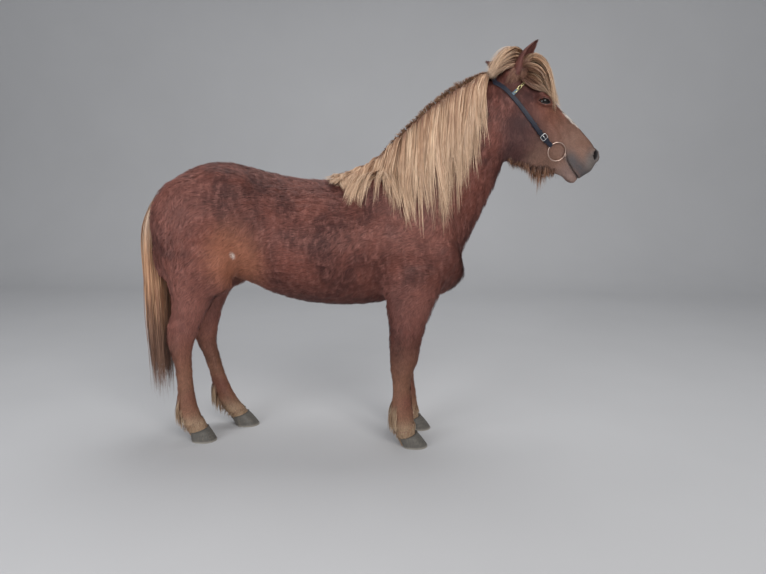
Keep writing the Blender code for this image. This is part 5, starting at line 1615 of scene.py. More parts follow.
def crest_guides():
    """Hair rooted on the left of the crest that lies over it to the right, so that no parting shows."""
    guides = []
    for i in range(CREST_LOCKS):
        root, _ = mane_at((i + spread(0.0, 1.0)) / CREST_LOCKS)
        root += Vector((0.0, spread(0.006, 0.022), -0.016))
        start = (spread(-0.35, -0.05), spread(-0.55, -0.20), 0.9)
        lean = (spread(-0.25, 0.05), -1.0, spread(-0.45, -0.15))
        clear, length = spread(0.004, 0.016), spread(0.050, 0.090)
        path, normals = drape(root, start, clear, length, lean, steps=7, turn_over=0.026)
        guides.append((path, normals, 0.024, 0.008))
    return guides


falling = strands(mane_guides(), 34, width=0.0030, gather=0.62, wander=0.0040, shortest=0.62)
crest = strands(crest_guides(), 9, width=0.0026, gather=0.15, wander=0.0030, shortest=0.50)
mane = hair_piece("mane", [falling, crest], mane_hair)
print("mane:", triangle_count(mane))

# %% The forelock
def over_forehead(y_root, y_end, end, reach, clear, count=12):
    """A path from between the ears over the forehead: low ones lie on it, high ones arch."""
    arch = curve([
        (0.740, y_root, 1.852), (0.768, y_root * 1.3, 1.948),
        (0.896, y_end * 1.1, 1.880), (0.864 + 0.066 * end, y_end, 1.748 - 0.094 * end),
    ], count)
    low = []
    for u in np.linspace(0.0, 1.0, count):
        y = np.clip(y_root + (y_end - y_root) * u, -0.062, 0.050)
        start = Vector(head_point(0.050 + (0.170 + 0.080 * end) * u, 0.300, y))
        low.append(over_coat.ray_cast(start, -HEAD_UP)[0] + HEAD_UP * 0.007)
    share = (reach * (1.0 - smooth_step((np.linspace(0.0, 1.0, count) - 0.62) / 0.38)))[:, None]
    path = [push_out(Vector(p), clear)[0] for p in arch * share + np.array(low) * (1.0 - share)]
    return np.array(path), np.tile(HEAD_UP + Vector((0, -0.5, 0)), (count, 1))


def over_poll(u, y_end, reach, clear, count=12):
    """A path from between the ears that arches back and down over the poll to the right."""
    controls = [
        Vector((0.746 - 0.026 * u, -0.030 + 0.034 * reach, 1.832)),
        Vector((0.775 - 0.026 * u, -0.035, 1.842 + 0.116 * reach)),
        Vector((0.648 - 0.026 * u, y_end * 0.9, 1.842 + 0.108 * reach)),
        Vector((0.602 - 0.026 * u, y_end, 1.782 + 0.022 * reach)),
    ]
    path = [push_out(Vector(p), clear)[0] for p in curve(controls, count)]
    return np.array(path), np.tile([-0.3, -0.6, 0.75], (count, 1))


FORWARD_LOCKS, POLL_LOCKS = 96, 54


def forelock_guides():
    """Locks forward over the forehead, the near ones longest, and locks back to the poll."""
    guides = []
    for i in range(FORWARD_LOCKS):
        u, reach = (i * 0.618) % 1.0, ((i % 8) / 7) ** 1.1
        end = 0.20 + 0.35 * u + 0.55 * reach + spread(-0.40, 0.10)
        y_root, y_end = -0.046 + 0.082 * u, -0.076 + 0.122 * u + spread(-0.01, 0.01)
        arch = np.clip(reach + spread(-0.1, 0.05), 0, 1.0)
        path, normals = over_forehead(y_root, y_end, end, arch, 0.007)
        guides.append((path, normals, spread(0.022, 0.034), 0.014, 0.20 + 0.50 * reach))
    for i in range(POLL_LOCKS):
        u, reach = (i * 0.618) % 1.0, (i % 6) / 5
        y_end = -0.098 + 0.120 * u + spread(-0.012, 0.012)
        path, normals = over_poll(spread(0.0, 1.0), y_end, reach, 0.009 + 0.006 * reach)
        guides.append((path, normals, spread(0.024, 0.036), 0.014, 0.30 + 0.35 * reach))
    return guides


locks = strands(forelock_guides(), 34, width=0.0026, gather=0.40, wander=0.0050, shortest=0.70)
forelock = hair_piece("forelock", [locks], forelock_hair)
print("forelock:", triangle_count(forelock))

# %% The tail
def tail_finish():
    """Tail hair: flaxen over the dock, chestnut half way down, dull brown at the end."""
    look = Finish("tail_hair")
    along, tone, _, shade = hair_shades(look)
    upper = look.mix(shade, (0.52, 0.34, 0.23), (0.92, 0.74, 0.58))
    middle = look.mix(shade, (0.30, 0.135, 0.075), (0.78, 0.46, 0.27))
    lower = look.mix(shade, (0.09, 0.042, 0.028), (0.30, 0.165, 0.110))
    colour = look.mix((along + tone * 0.15).between(0.10, 0.38), upper, middle)
    colour = look.mix((along + tone * 0.15).between(0.50, 0.85), colour, lower)
    return look.finish(colour, 0.46, Specular_IOR_Level=0.4)


TAIL_AXIS = -1.064

# Shells from the inside out: how many locks, their share of the girth, the height of their ends.
TAIL_SHELLS = [(10, 0.35, 0.310), (18, 0.66, 0.255), (32, 0.98, 0.205)]
DOCK = ((-1.012, 0.0, 1.258), (-1.070, 0.0, 1.060))


def tail_guides():
    """Locks in three shells, rooted along the dock, that fall past the hocks."""
    guides = []
    for count, girth, end in TAIL_SHELLS:
        half_x, half_y = 0.056 * girth, 0.092 * girth
        for i in range(count):
            turn = math.tau * (i + spread(-0.3, 0.3)) / count
            round_x, round_y = math.cos(turn), math.sin(turn)
            down_dock = spread(0.0, 0.60) * (0.4 + 0.3 * (1.0 + round_x)) + 0.24 * abs(round_y)
            root = np.array(DOCK[0]) * (1.0 - down_dock) + np.array(DOCK[1]) * down_dock
            root = root + np.array([0.008 * (1.0 + round_x), 0.018 * round_y, 0.004])
            low, path = end + spread(-0.02, 0.14), []
            for u in np.linspace(0.0, 1.0, 20):
                full = min(1.0, 0.85 + 0.8 * u) * (1.0 - 0.30 * max(0.0, u - 0.55) / 0.45)
                x = TAIL_AXIS + half_x * round_x * full + 0.006 * math.sin(4.4 * u + 0.9 * i)
                y = half_y * round_y * full + 0.004 * math.sin(3.1 * u + i)
                share = smooth_step(u / 0.16)
                start = root + np.array([-0.25 * u, round_y * (0.012 + 0.7 * u), 0.12 * u])
                hang = np.array([x, y, root[2] + (low - root[2]) * u])
                place = Vector(start * (1.0 - share) + hang * share)
                path.append(push_out(place, 0.005 if u else 0.0)[0])
            normals = np.tile([round_x, round_y, 0.1], (20, 1))
            guides.append((np.array(path), normals, spread(0.030, 0.048), 0.014))
    return guides


tail_hair = tail_finish()
locks = strands(tail_guides(), 46, width=0.0030, gather=0.30, wander=0.0060, shortest=0.70)
tail = hair_piece("tail_strands", [locks], tail_hair)
print("tail:", triangle_count(tail))

# %% Beard and feather
def fall_guides(tops, outs, drops, widths, stand=0.30):
    """Short locks that leave the skin outwards and fall."""
    guides = []
    for top, out, drop, wide in zip(tops, outs, drops, widths):
        way = Vector(out).normalized()
        start = Vector(top)
        aside = way * drop * stand
        controls = [start, start + aside, start + aside * 1.2 - Vector((0, 0, drop * 0.55)),
                    start + aside - Vector((0, 0, drop))]
        guides.append((curve(controls, 8), np.tile(way, (8, 1)), wide, wide * 0.5))
    return guides


BEARD_LOCKS = 150
BEARD_FROM, BEARD_TO = 0.695, 0.915


def beard_guides():
    """Hair all along the underside of the jaw, longest a little behind the chin groove."""
    tops, outs, drops, tones = [], [], [], []
    for i in range(BEARD_LOCKS):
        u = (i + 0.5) / BEARD_LOCKS
        y = spread(-0.038, 0.038) * (1.0 - 0.25 * u)
        long_share = math.exp(-(((u - 0.66) / 0.17) ** 2))
        start = Vector((BEARD_FROM + (BEARD_TO - BEARD_FROM) * u, y, 1.200))
        hit = over_coat.ray_cast(start, Vector((0.0, 0.0, 1.0)))[0]
        if hit is None:
            continue
        tops.append(hit + Vector((0, 0, 0.004)))
        outs.append((-0.15, y * 6, -0.8))
        drops.append((0.034 + 0.074 * long_share) * spread(0.55, 1.1))
        tones.append(0.10 + 0.42 * long_share)
    guides = fall_guides(tops, outs, drops, [0.020] * len(tops), 0.14)
    return [guide + (tone,) for guide, tone in zip(guides, tones)]


# Each foot's place on the ground, and how far the coronet lies behind the middle of the sole.
FEET = {
    "fore_right": (0.262, -0.118, 0.0370),
    "fore_left": (0.262 + far_fore_stride(0.0), 0.118, 0.0390),
    "hind_right": (-0.822, -0.112, 0.0245),
    "hind_left": (-0.822 + far_hind_stride(0.0), 0.112, 0.0425),
}


def behind_leg(foot_x, foot_y, high):
    """A place on the back of a leg at a height, found from behind."""
    start = Vector((foot_x - 0.26, foot_y + spread(-0.036, 0.036), high))
    hit, normal, _, distance = over_coat.ray_cast(start, Vector((1.0, 0.0, 0.0)))
    return (hit, normal) if hit is not None and distance < 0.30 else (None, None)


def around_coronet(foot_x, foot_y, turn):
    """A place just over the hoof, on the side that a turn from straight back gives."""
    high = 0.096 - 0.020 * math.cos(turn) + spread(-0.008, 0.012)
    middle = Vector((foot_x - 0.022 - 0.336 * (high - 0.08), foot_y, high))
    out = Vector((-math.cos(turn), math.sin(turn), 0.0))
    hit, _, _, distance = over_coat.ray_cast(middle + out * 0.12, -out)
    return (hit, out) if hit is not None and distance < 0.11 else (None, None)


FEATHER_LOCKS, CORONET_LOCKS = 70, 64


def feather_guides():
    """Long hair behind each fetlock, and a short fringe all round that falls over the hoof."""
    rows = []
    for foot_x, foot_y, _ in FEET.values():
        for i in range(FEATHER_LOCKS):
            high = spread(0.100, 0.235)
            top, out = behind_leg(foot_x, foot_y, high)
            rows.append((top, out, 0.6, (high - 0.035) * spread(0.30, 0.62), 0.016))
        for i in range(CORONET_LOCKS):
            turn = math.tau * (i + spread(-0.3, 0.3)) / CORONET_LOCKS
            top, out = around_coronet(foot_x, foot_y, turn)
            rows.append((top, out, 1.8, spread(0.020, 0.034), 0.013))
    rows = [row for row in rows if row[0] is not None]
    tops = [top - out * 0.003 for top, out, *_ in rows]
    outs = [out * share + Vector((0.0, 0.0, -0.9)) for _, out, share, *_ in rows]
    return fall_guides(tops, outs, [row[3] for row in rows], [row[4] for row in rows], 0.30)


def ear_fringe_guides():
    """Hair in front of and below each ear that hides where the ear leaves the head."""
    guides = []
    for side, (base, tip, _, _) in EARS.items():
        aside = -1.0 if side == "right" else 1.0
        for i in range(60):
            turn = math.radians(spread(-120, 120))
            out = Vector((math.sin(turn), aside * math.cos(turn), 0.0))
            root = base.lerp(tip, spread(-0.14, 0.12)) + out * 0.014
            start = out * 0.7 + Vector((0.0, 0.0, spread(0.1, 0.4)))
            lean = (-0.50 + 0.3 * math.sin(turn), -0.55 * aside, -1.0)
            path, normals = drape(root, start, 0.005, spread(0.040, 0.080), lean, steps=8, turn_over=0.012)
            guides.append((path, normals, 0.016, 0.006))
    return guides


# Each kind's colours at the root, dark, light and pale.
LEG_SHADES = ((0.22, 0.11, 0.07), (0.30, 0.17, 0.10), (0.44, 0.30, 0.19), (0.56, 0.43, 0.30))
BEARD_SHADES = ((0.070, 0.030, 0.024), (0.170, 0.074, 0.042), (0.350, 0.175, 0.095), (0.440, 0.250, 0.145))
FRINGE_SHADES = ((0.085, 0.034, 0.028), (0.120, 0.048, 0.036), (0.230, 0.105, 0.070), (0.360, 0.200, 0.130))
leg_hair = hair_finish("leg_hair", *LEG_SHADES, 0.35)
beard_hair = hair_finish("beard_hair", *BEARD_SHADES, 0.80)
fringe_hair = hair_finish("fringe_hair", *FRINGE_SHADES, 0.40)
locks = strands(feather_guides(), 9, width=0.0018, gather=0.30, wander=0.0020, shortest=0.55)
feather = hair_piece("feather", [locks], leg_hair)
locks = strands(beard_guides(), 12, width=0.0015, gather=0.25, wander=0.0030, shortest=0.50)
beard = hair_piece("beard", [locks], beard_hair)
locks = strands(ear_fringe_guides(), 16, width=0.0017, gather=0.30, wander=0.0030, shortest=0.50)
ear_fringe = hair_piece("ear_fringe", [locks], fringe_hair)
print("feather, beard, ear fringe:", [triangle_count(piece) for piece in (feather, beard, ear_fringe)])

# %% [markdown]
# ## Eyes and hooves
#
# A horse's eye is large and dark, with a pupil that is a level oval. The eyeball is one closed
# ellipsoid with a slight bulge for the cornea, set behind the lids that the skin already has.
# Lashes stand on the upper lid. A hoof is a cone of horn with growth rings, paler towards the
# ground, and stands flat on its sole.

# %% Eyes
def rounded(name, centre, radii, bulge, rings=40, sides=56):
    """A closed ellipsoid with its poles along y, with a slight bulge on its outer side."""
    side = math.copysign(1.0, centre[1])
    rows = []
    for i in range(rings + 1):
        polar = math.pi * i / rings
        out = math.cos(polar) * radii[1] + bulge * max(0.0, math.cos(polar)) ** 6
        wide, y = max(math.sin(polar), 0.002), centre[1] + side * out
        turns = np.linspace(0, math.tau, sides, endpoint=False)
        xs = [centre[0] + math.cos(turn) * wide * radii[0] for turn in turns]
        zs = [centre[2] + math.sin(turn) * wide * radii[2] for turn in turns]
        rows.append([(x, y, z) for x, z in zip(xs, zs)])
    return loft(name, rows)


def eye_finish():
    """A brown iris with fine spokes round a level oval pupil, a dark rim, under a wet gloss."""
    look = Finish("wet_eye")
    x, y, z = look.axes()
    along, up = (x - EYE_PLACE[0]) / 0.0125, (z - EYE_PLACE[2]) / 0.0115
    far = (along * along + up * up).power(0.5)
    pupil = ((along * 1.15) * (along * 1.15) + (up * 2.1) * (up * 2.1)).power(0.5)
    spokes = look.noise(900.0, 3.0, 0.6)
    iris = look.mix(spokes, (0.005, 0.003, 0.002), (0.020, 0.009, 0.005))
    colour = look.mix(pupil.between(1.05, 0.80), iris, (0.002, 0.002, 0.003))
    colour = look.mix(far.between(0.88, 1.10), colour, (0.009, 0.006, 0.005))
    return look.finish(colour, 0.10, Coat_Weight=0.15, Coat_Roughness=0.05, Specular_IOR_Level=0.25)


wet_eye = eye_finish()
SIDES = [("right", -1), ("left", 1)]
eyes = {}
for side, sign in SIDES:
    centre = (EYE_PLACE[0], sign * EYE_PLACE[1], EYE_PLACE[2])
    eyes[side] = finished(rounded(f"eyeball_{side}", centre, EYEBALL, bulge=0.0012), wet_eye)
print("eyes:", {side: triangle_count(eye) for side, eye in eyes.items()})

# %% Lashes and feelers
def hair_from(roots, ways, lengths, droop):
    """Single curved hairs as guides for strands, bent down towards the tip."""
    guides = []
    for root, way, length in zip(roots, ways, lengths):
        way, root = Vector(way).normalized(), Vector(root)
        end = root + way * length - Vector((0, 0, droop * length))
        controls = [root - way * 0.001, root + way * length * 0.4, root + way * length * 0.75, end]
        guides.append((curve(controls, 6), np.tile([0.0, 0.3, 1.0], (6, 1)), 0.0004, 0.0004))
    return guides


def lash_guides():
    """Lashes along the front half of the upper lid, long and level, slanting down."""
    roots, ways, lengths = [], [], []
    for sign in (-1, 1):
        for i in range(34):
            turn = math.radians(12 + 150 * i / 33)
            x = EYE_PLACE[0] + math.cos(turn) * OPENING[0] * 0.94
            z = EYE_PLACE[2] + math.sin(turn) * OPENING[1] * 0.98
            z += (x - EYE_PLACE[0]) * math.tan(OPENING_TILT)
            hit = over_coat.ray_cast(Vector((x, sign * 0.3, z)), Vector((0, -sign, 0)))[0]
            roots.append(hit - Vector((0, sign * 0.0015, 0)))
            ways.append((0.35 * math.cos(turn) + spread(-0.1, 0.1), sign * 0.85, -0.22 + spread(-0.1, 0.1)))
            lengths.append(spread(0.012, 0.020))
    return hair_from(roots, ways, lengths, 0.12)


def feeler_guides():
    """The long single hairs of muzzle and chin, and a few under the eye."""
    roots, ways, lengths = [], [], []
    for i in range(90):
        s_ends, t_ends = ((0.50, 0.61), (-0.13, 0.04)) if i % 3 else ((0.42, 0.54), (-0.17, -0.12))
        s, t = spread(*s_ends), spread(*t_ends)
        sign = -1 if i % 2 else 1
        start = Vector(head_point(s, t, sign * 0.30))
        hit, normal, _, _ = over_coat.ray_cast(start, Vector((0, -sign, 0)))
        if hit is None:
            continue
        roots.append(hit - normal * 0.004)
        ways.append(normal + HEAD_ALONG * spread(0.1, 0.5) + Vector((0, 0, spread(-0.5, 0.0))))
        lengths.append(spread(0.018, 0.045))
    return hair_from(roots, ways, lengths, 0.15)


DARK_SHADES = ((0.02, 0.015, 0.013), (0.03, 0.02, 0.016), (0.06, 0.04, 0.03), (0.12, 0.08, 0.06))
dark_hair = hair_finish("dark_hair", *DARK_SHADES, 0.3)
hairs = strands(lash_guides(), 2, width=0.0006, gather=0.0, wander=0.0004, shortest=0.9)
lashes = hair_piece("lashes", [hairs], dark_hair)
hairs = strands(feeler_guides(), 1, width=0.0005, gather=0.0, wander=0.0004, shortest=0.95)
feelers = hair_piece("feelers", [hairs], dark_hair)
print("lashes and feelers:", triangle_count(lashes), triangle_count(feelers))

# %% Hooves
HOOF_LENGTH = 0.128
HOOF_WIDTH = 0.108
CORONET_FRONT, CORONET_BACK = 0.078, 0.040
HOOF_SIDES = 64


def hoof_ring(centre_x, centre_y, length, width, height_at):
    """A ring around a hoof, rounder at the toe than at the heel, with a cleft between the heels."""
    ring = []
    for i in range(HOOF_SIDES):
        turn = math.tau * i / HOOF_SIDES
        x = math.cos(turn)
        cleft = 0.010 * math.exp(-((abs(turn - math.pi) / 0.22) ** 2))
        x = math.copysign(abs(x) ** (0.9 if x > 0 else 0.6), x) * length / 2 + cleft
        x, y = centre_x + x, centre_y + math.sin(turn) * width / 2
        ring.append((x, y, height_at(x)))
    return ring


def hoof(name, centre_x, centre_y, back):
    """A hoof: a flat sole with a dished middle, a rounded rim, and a wall with growth rings."""
    top_x = centre_x - back

    def coronet(x):
        return CORONET_BACK + (CORONET_FRONT - CORONET_BACK) * ((x - top_x) / HOOF_LENGTH + 0.5)

    rings = [
        hoof_ring(centre_x, centre_y, 0.020, 0.016, lambda x: 0.006),
        hoof_ring(centre_x, centre_y, HOOF_LENGTH - 0.034, HOOF_WIDTH - 0.030, lambda x: 0.005),
        hoof_ring(centre_x, centre_y, HOOF_LENGTH - 0.024, HOOF_WIDTH - 0.022, lambda x: 0.0),
        hoof_ring(centre_x, centre_y, HOOF_LENGTH - 0.004, HOOF_WIDTH - 0.004, lambda x: 0.0),
    ]
    for i in range(40):
        u = 0.05 + 0.95 * i / 39
        ripple_out = 0.00028 * math.sin(38.0 * u + 2.5 * math.sin(7.0 * u))
        swell = 0.0022 * smooth_step((u - 0.90) / 0.08)
        length = HOOF_LENGTH - 0.0380 * u + 2 * (ripple_out + swell)
        width = HOOF_WIDTH - 0.012 * u + 2 * (ripple_out + swell)
        middle_x = centre_x - back * u
        rings.append(hoof_ring(middle_x, centre_y, length, width, lambda x, u=u: coronet(x) * u))
    rings.append(hoof_ring(top_x, centre_y, 0.070, 0.062, lambda x: coronet(x) - 0.001))
    return finished(loft(name, rings), horn, 50)


def horn_finish():
    """Dark grey horn in level rings, streaked downwards, paler and worn at the ground."""
    look = Finish("horn")
    x, y, z = look.axes()
    rings = look.noise(24.0, 3.0, 0.6, stretch=(0.3, 0.3, 8.0))
    streaks = look.noise(260.0, 3.0, 0.6, stretch=(1.0, 1.0, 0.07))
    colour = look.mix(rings, (0.060, 0.056, 0.052), (0.125, 0.114, 0.098))
    colour = look.mix(streaks.between(0.45, 0.75) * 0.6, colour, (0.21, 0.18, 0.14))
    colour = look.mix(z.between(0.013, 0.002) * 0.75, colour, (0.34, 0.31, 0.27))
    height = rings * 0.7 + streaks * 0.4
    return look.finish(colour, 0.42 + streaks * 0.2, 0.0, look.bump(height, 0.0008, 0.5))


horn = horn_finish()
hooves = {name: hoof(f"horn_{name}", *place) for name, place in FEET.items()}
print("hooves:", {name: triangle_count(piece) for name, piece in hooves.items()})

# %% [markdown]
# ## The bridle
#
# A strap runs from one ring bit over the poll to the other. Its path is found by casting lines onto
# the coat, so that it lies on the horse. The chain over the forehead and the stitches along the
# strap repeat one small shape at many places: a Geometry Nodes tree puts it there and makes it real
# mesh.

# %% Paths that lie on the coat
STRAP_WIDTH, STRAP_THICK = 0.0200, 0.0045
STRAP_LINE = [
    (0.001, -0.067), (0.050, -0.060), (0.106, -0.060), (0.160, -0.064), (0.217, -0.070),
    (0.260, -0.075), (0.296, -0.079), (0.344, -0.080), (0.372, -0.080), (0.392, -0.079),
]
POLL_TOP = Vector((0.604, 0.0, 1.840))
RING_CENTRE = (0.430, -0.076)
RING_RADIUS = 0.0425
BUCKLE_PLACE = (0.338, -0.0795)
BROW_S = 0.098


def onto(start, target):
    """Where the line from start to target meets the coat, and the normal there."""
    hit, normal, _, _ = over_coat.ray_cast(start, (target - start).normalized())
    return hit, normal


def cheek_point(s, t, side):
    """The point of the cheek's surface beside a place given in the head's frame."""
    return onto(Vector(head_point(s, t, side * 0.30)), Vector(head_point(s, t, 0.0)))


def strap_path():
    """The strap's middle line, from the right ring over the poll to the left one."""
    line = smooth_rows(STRAP_LINE, 5)
    right = [cheek_point(s, t, -1) for s, t in line[::-1]]
    left = [cheek_point(s, t, 1) for s, t in line]
    over = []
    for i in range(31):
        turn = math.radians(-75 + 5 * i)
        x = POLL_TOP.x + 0.014 * abs(math.sin(turn))
        start = Vector((x, 0.30 * math.sin(turn), 1.745 + 0.30 * math.cos(turn)))
        over.append(onto(start, Vector((x, 0.0, 1.745))))
    return right + over + left


def eased(path, rounds=4):
    """A path of points and normals with its kinks smoothed out."""
    points = softened([p for p, _ in path], rounds)
    normals = unit(softened([n for _, n in path], rounds * 2))
    return [(Vector(p), Vector(n)) for p, n in zip(points, normals)]


def resampled(path, spacing):
    """Points and normals along a path at an even spacing."""
    made, carry = [path[0]], 0.0
    for (a, na), (b, nb) in zip(path, path[1:]):
        length = (b - a).length
        at = spacing - carry
        while at <= length:
            made.append((a.lerp(b, at / length), na.lerp(nb, at / length).normalized()))
            at += spacing
        carry = (carry + length) % spacing
    return made


def frame_at(path, k):
    """The direction along a path at one of its points, and the directions across it and up."""
    ahead = (path[min(k + 1, len(path) - 1)][0] - path[max(k - 1, 0)][0]).normalized()
    side = ahead.cross(path[k][1]).normalized()
    return ahead, side, side.cross(ahead).normalized()


def band(name, path, wide, low, high, bevel=0.0012):
    """A leather band along a path, rounded at its edges, from low to high above the coat."""
    rings = []
    for k, (point, _) in enumerate(path):
        _, side, up = frame_at(path, k)
        w, b = wide / 2, bevel
        top = high(k) if callable(high) else high
        outline = [(w, low + b), (w, top - b), (w - b * 0.4, top - b * 0.3), (w - b * 1.5, top)]
        outline.append((0.0, top + 0.0004))
        outline += [(-a, c) for a, c in outline[::-1][1:]] + [(-w + b, low), (w - b, low)]
        rings.append([tuple(point + side * a + up * c) for a, c in outline])
    return loft(name, rings)


def wire_ring(name, shape_at, out, thick, high, sides, around):
    """A closed loop of wire. shape_at(turn) gives its middle line and the way out from there."""
    points, faces = [], []
    for i in range(sides):
        middle, way = shape_at(math.tau * i / sides)
        for j in range(around):
            lean = math.tau * j / around
            points.append(tuple(middle + way * math.cos(lean) * thick + out * math.sin(lean) * high))
            n, m = (i + 1) % sides, (j + 1) % around
            faces.append((i * around + j, n * around + j, n * around + m, i * around + m))
    return facing_out(mesh_object(name, points, faces))


def rod(name, start, axis, first, second, stations, sides):
    """A round rod along an axis from stations of (how far along, radius)."""
    turns = np.linspace(0, math.tau, sides, endpoint=False)
    rows = []
    for far, r in stations:
        middle = start + axis * far
        rows.append([tuple(middle + first * r * math.cos(a) + second * r * math.sin(a)) for a in turns])
    return loft(name, rows)


print("the ring's radius:", RING_RADIUS, "the strap's width:", STRAP_WIDTH)


# %% A tree that repeats one shape at many places
def repeating_tree():
    """Puts a shape at every point of a mesh, turned as the point's "turn" says."""
    tree = bpy.data.node_groups.new("repeat_shape", "GeometryNodeTree")
    side = tree.interface
    side.new_socket("Places", in_out="INPUT", socket_type="NodeSocketGeometry")
    side.new_socket("Shape", in_out="INPUT", socket_type="NodeSocketObject")
    side.new_socket("Finish", in_out="INPUT", socket_type="NodeSocketMaterial")
    side.new_socket("Geometry", in_out="OUTPUT", socket_type="NodeSocketGeometry")
    nodes, link = tree.nodes, tree.links.new
    given, made = nodes.new("NodeGroupInput"), nodes.new("NodeGroupOutput")
    shape = nodes.new("GeometryNodeObjectInfo")
    turn = nodes.new("GeometryNodeInputNamedAttribute")
    turn.data_type = "FLOAT_VECTOR"
    turn.inputs["Name"].default_value = "turn"
    rotation = nodes.new("FunctionNodeEulerToRotation")
    placed = nodes.new("GeometryNodeInstanceOnPoints")
    real = nodes.new("GeometryNodeRealizeInstances")
    painted = nodes.new("GeometryNodeSetMaterial")
    link(given.outputs["Shape"], shape.inputs["Object"])
    link(given.outputs["Places"], placed.inputs["Points"])
    link(shape.outputs["Geometry"], placed.inputs["Instance"])
    link(turn.outputs["Attribute"], rotation.inputs["Euler"])
    link(rotation.outputs["Rotation"], placed.inputs["Rotation"])
    link(placed.outputs["Instances"], real.inputs["Geometry"])
    link(real.outputs["Geometry"], painted.inputs["Geometry"])
    link(given.outputs["Finish"], painted.inputs["Material"])
    link(painted.outputs["Geometry"], made.inputs["Geometry"])
    return tree


repeat_shape = repeating_tree()
print("tree:", repeat_shape.name, "nodes:", len(repeat_shape.nodes))


# %% A piece made with the tree
def repeated(name, shape, places, look):
    """One piece made of a small shape at each of many places: (point, along, side, up)."""
    points = mesh_object(name, [tuple(p[0]) for p in places], [])
    turns = [Matrix(axes).transposed().to_euler() for _, *axes in places]
    layer = points.data.attributes.new("turn", "FLOAT_VECTOR", "POINT")
    layer.data.foreach_set("vector", np.array(turns, float).ravel())
    changer = points.modifiers.new("repeat", "NODES")
    changer.node_group = repeat_shape
    given = {}
    for item in repeat_shape.interface.items_tree:
        if item.in_out == "INPUT":
            given[item.name] = item.identifier
    changer[given["Shape"]] = shape
    changer[given["Finish"]] = look
    made = baked(points)
    bpy.data.objects.remove(shape, do_unlink=True)
    return made


# %% Leather, thread and metals
def leather_finish(name, dark, light, roughness):
    """Grained leather, rubbed paler along its raised grain."""
    look = Finish(name)
    grain = look.noise(700.0, 3.0, 0.6)
    wear = look.noise(45.0, 4.0, 0.6)
    colour = look.mix(wear * 0.6 + grain * 0.4, dark, light)
    rough = roughness + grain * 0.18 - wear * 0.10
    return look.finish(colour, rough, 0.0, look.bump(grain, 0.0006, 0.6), Specular_IOR_Level=0.3)


def metal_finish(name, colour, tarnish, roughness):
    """Metal with fine scratches and a little tarnish."""
    look = Finish(name)
    scratches = look.noise(520.0, 3.0, 0.7, stretch=(1.0, 0.15, 1.0))
    stains = look.noise(85.0, 3.0, 0.6)
    tone = look.mix(stains.between(0.45, 0.80) * 0.7, colour, tarnish)
    return look.finish(tone, roughness + scratches * 0.22, 1.0, look.bump(scratches, 0.0002, 0.4))


strap_leather = leather_finish("strap_leather", (0.005, 0.006, 0.012), (0.020, 0.023, 0.040), 0.42)
loop_leather = leather_finish("loop_leather", (0.080, 0.125, 0.170), (0.150, 0.210, 0.260), 0.42)
thread = leather_finish("thread", (0.050, 0.052, 0.065), (0.110, 0.112, 0.130), 0.75)
steel = metal_finish("steel", (0.66, 0.66, 0.66), (0.36, 0.35, 0.34), 0.16)
copper_ring = metal_finish("copper_ring", (0.60, 0.44, 0.37), (0.40, 0.24, 0.18), 0.18)
brass = metal_finish("brass", (0.80, 0.74, 0.42), (0.52, 0.42, 0.18), 0.16)
print("finishes:", [look.name for look in (strap_leather, loop_leather, thread, steel, copper_ring, brass)])

# %% The strap with its keepers and stitches
strap_line = resampled(eased(strap_path()), 0.006)
strap_end = len(strap_line) - 1
strap = band("bare_strap", strap_line, STRAP_WIDTH, -0.001,
             lambda k: STRAP_THICK + 0.0075 * (k < 4 or k > strap_end - 4))


def along_strap(start, end, on_left):
    """A stretch of the strap's line between two distances from one ring."""
    line = strap_line[::-1] if on_left else strap_line
    return line[int(start / 0.006):int(end / 0.006) + 1]


def keepers():
    """The strap's turned-back end on each cheek and the loops that hold it."""
    made = []
    for on_left in (False, True):
        made.append(band("fold", along_strap(0.012, 0.042, on_left), STRAP_WIDTH - 0.001, 0.004, 0.0085))
        made.append(band("point", along_strap(0.066, 0.150, on_left), STRAP_WIDTH - 0.002, 0.004, 0.0075))
        for start in (0.036, 0.084, 0.126):
            stretch = along_strap(start, start + 0.007, on_left)
            made.append(band("loop", stretch, STRAP_WIDTH + 0.005, -0.001, 0.0100))
    return made


def stitch_places():
    """Two rows of stitches, one near each edge of the strap."""
    line = resampled(strap_line, 0.0046)
    places = []
    for k in range(12, len(line) - 12):
        ahead, side, up = frame_at(line, k)
        for edge in (-1, 1):
            aside = side * edge * (STRAP_WIDTH / 2 - 0.0024)
            middle = line[k][0] + aside + up * (STRAP_THICK + 0.0002)
            places.append((middle, ahead, side, up))
    return places


def stitch():
    """One stitch: a short bead of thread."""
    stations = ((-0.0016, 0.0001), (-0.0013, 0.00042), (0.0013, 0.00042), (0.0016, 0.0001))
    axes = [Vector(axis) for axis in np.eye(3)]
    return rod("stitch", Vector(), *axes, stations, 6)


strap = finished(joined("strap", [strap, *keepers()]), strap_leather, 45)
stitches = repeated("stitches", stitch(), stitch_places(), thread)
print("strap:", triangle_count(strap), "stitches:", triangle_count(stitches))

# %% The chain over the forehead
LINK_SPACING = 0.0228


def brow_path(count=120):
    """Points around the forehead from one cheekpiece to the other."""
    path = []
    for i in range(count):
        turn = math.radians(-100 + 200 * i / (count - 1))
        start = Vector(head_point(BROW_S, -0.040 + 0.30 * math.cos(turn), 0.30 * math.sin(turn)))
        path.append(onto(start, Vector(head_point(BROW_S, -0.040, 0.0))))
    return path


def chain_link():
    """One oval link, twisted a little so that it lies in the next."""
    long, wide, wire = 0.0140, 0.0068, 0.0019

    def oval(turn):
        x, y = math.cos(turn), math.sin(turn)
        middle = Vector((long * x, wide * y, 0.0010 * math.sin(2 * turn)))
        return middle, Vector((wide * x, long * y, 0.0)).normalized()

    made = wire_ring("link", oval, Vector((0.0, 0.0, 1.0)), wire, wire, 22, 8)
    made.data.shade_smooth()
    return made


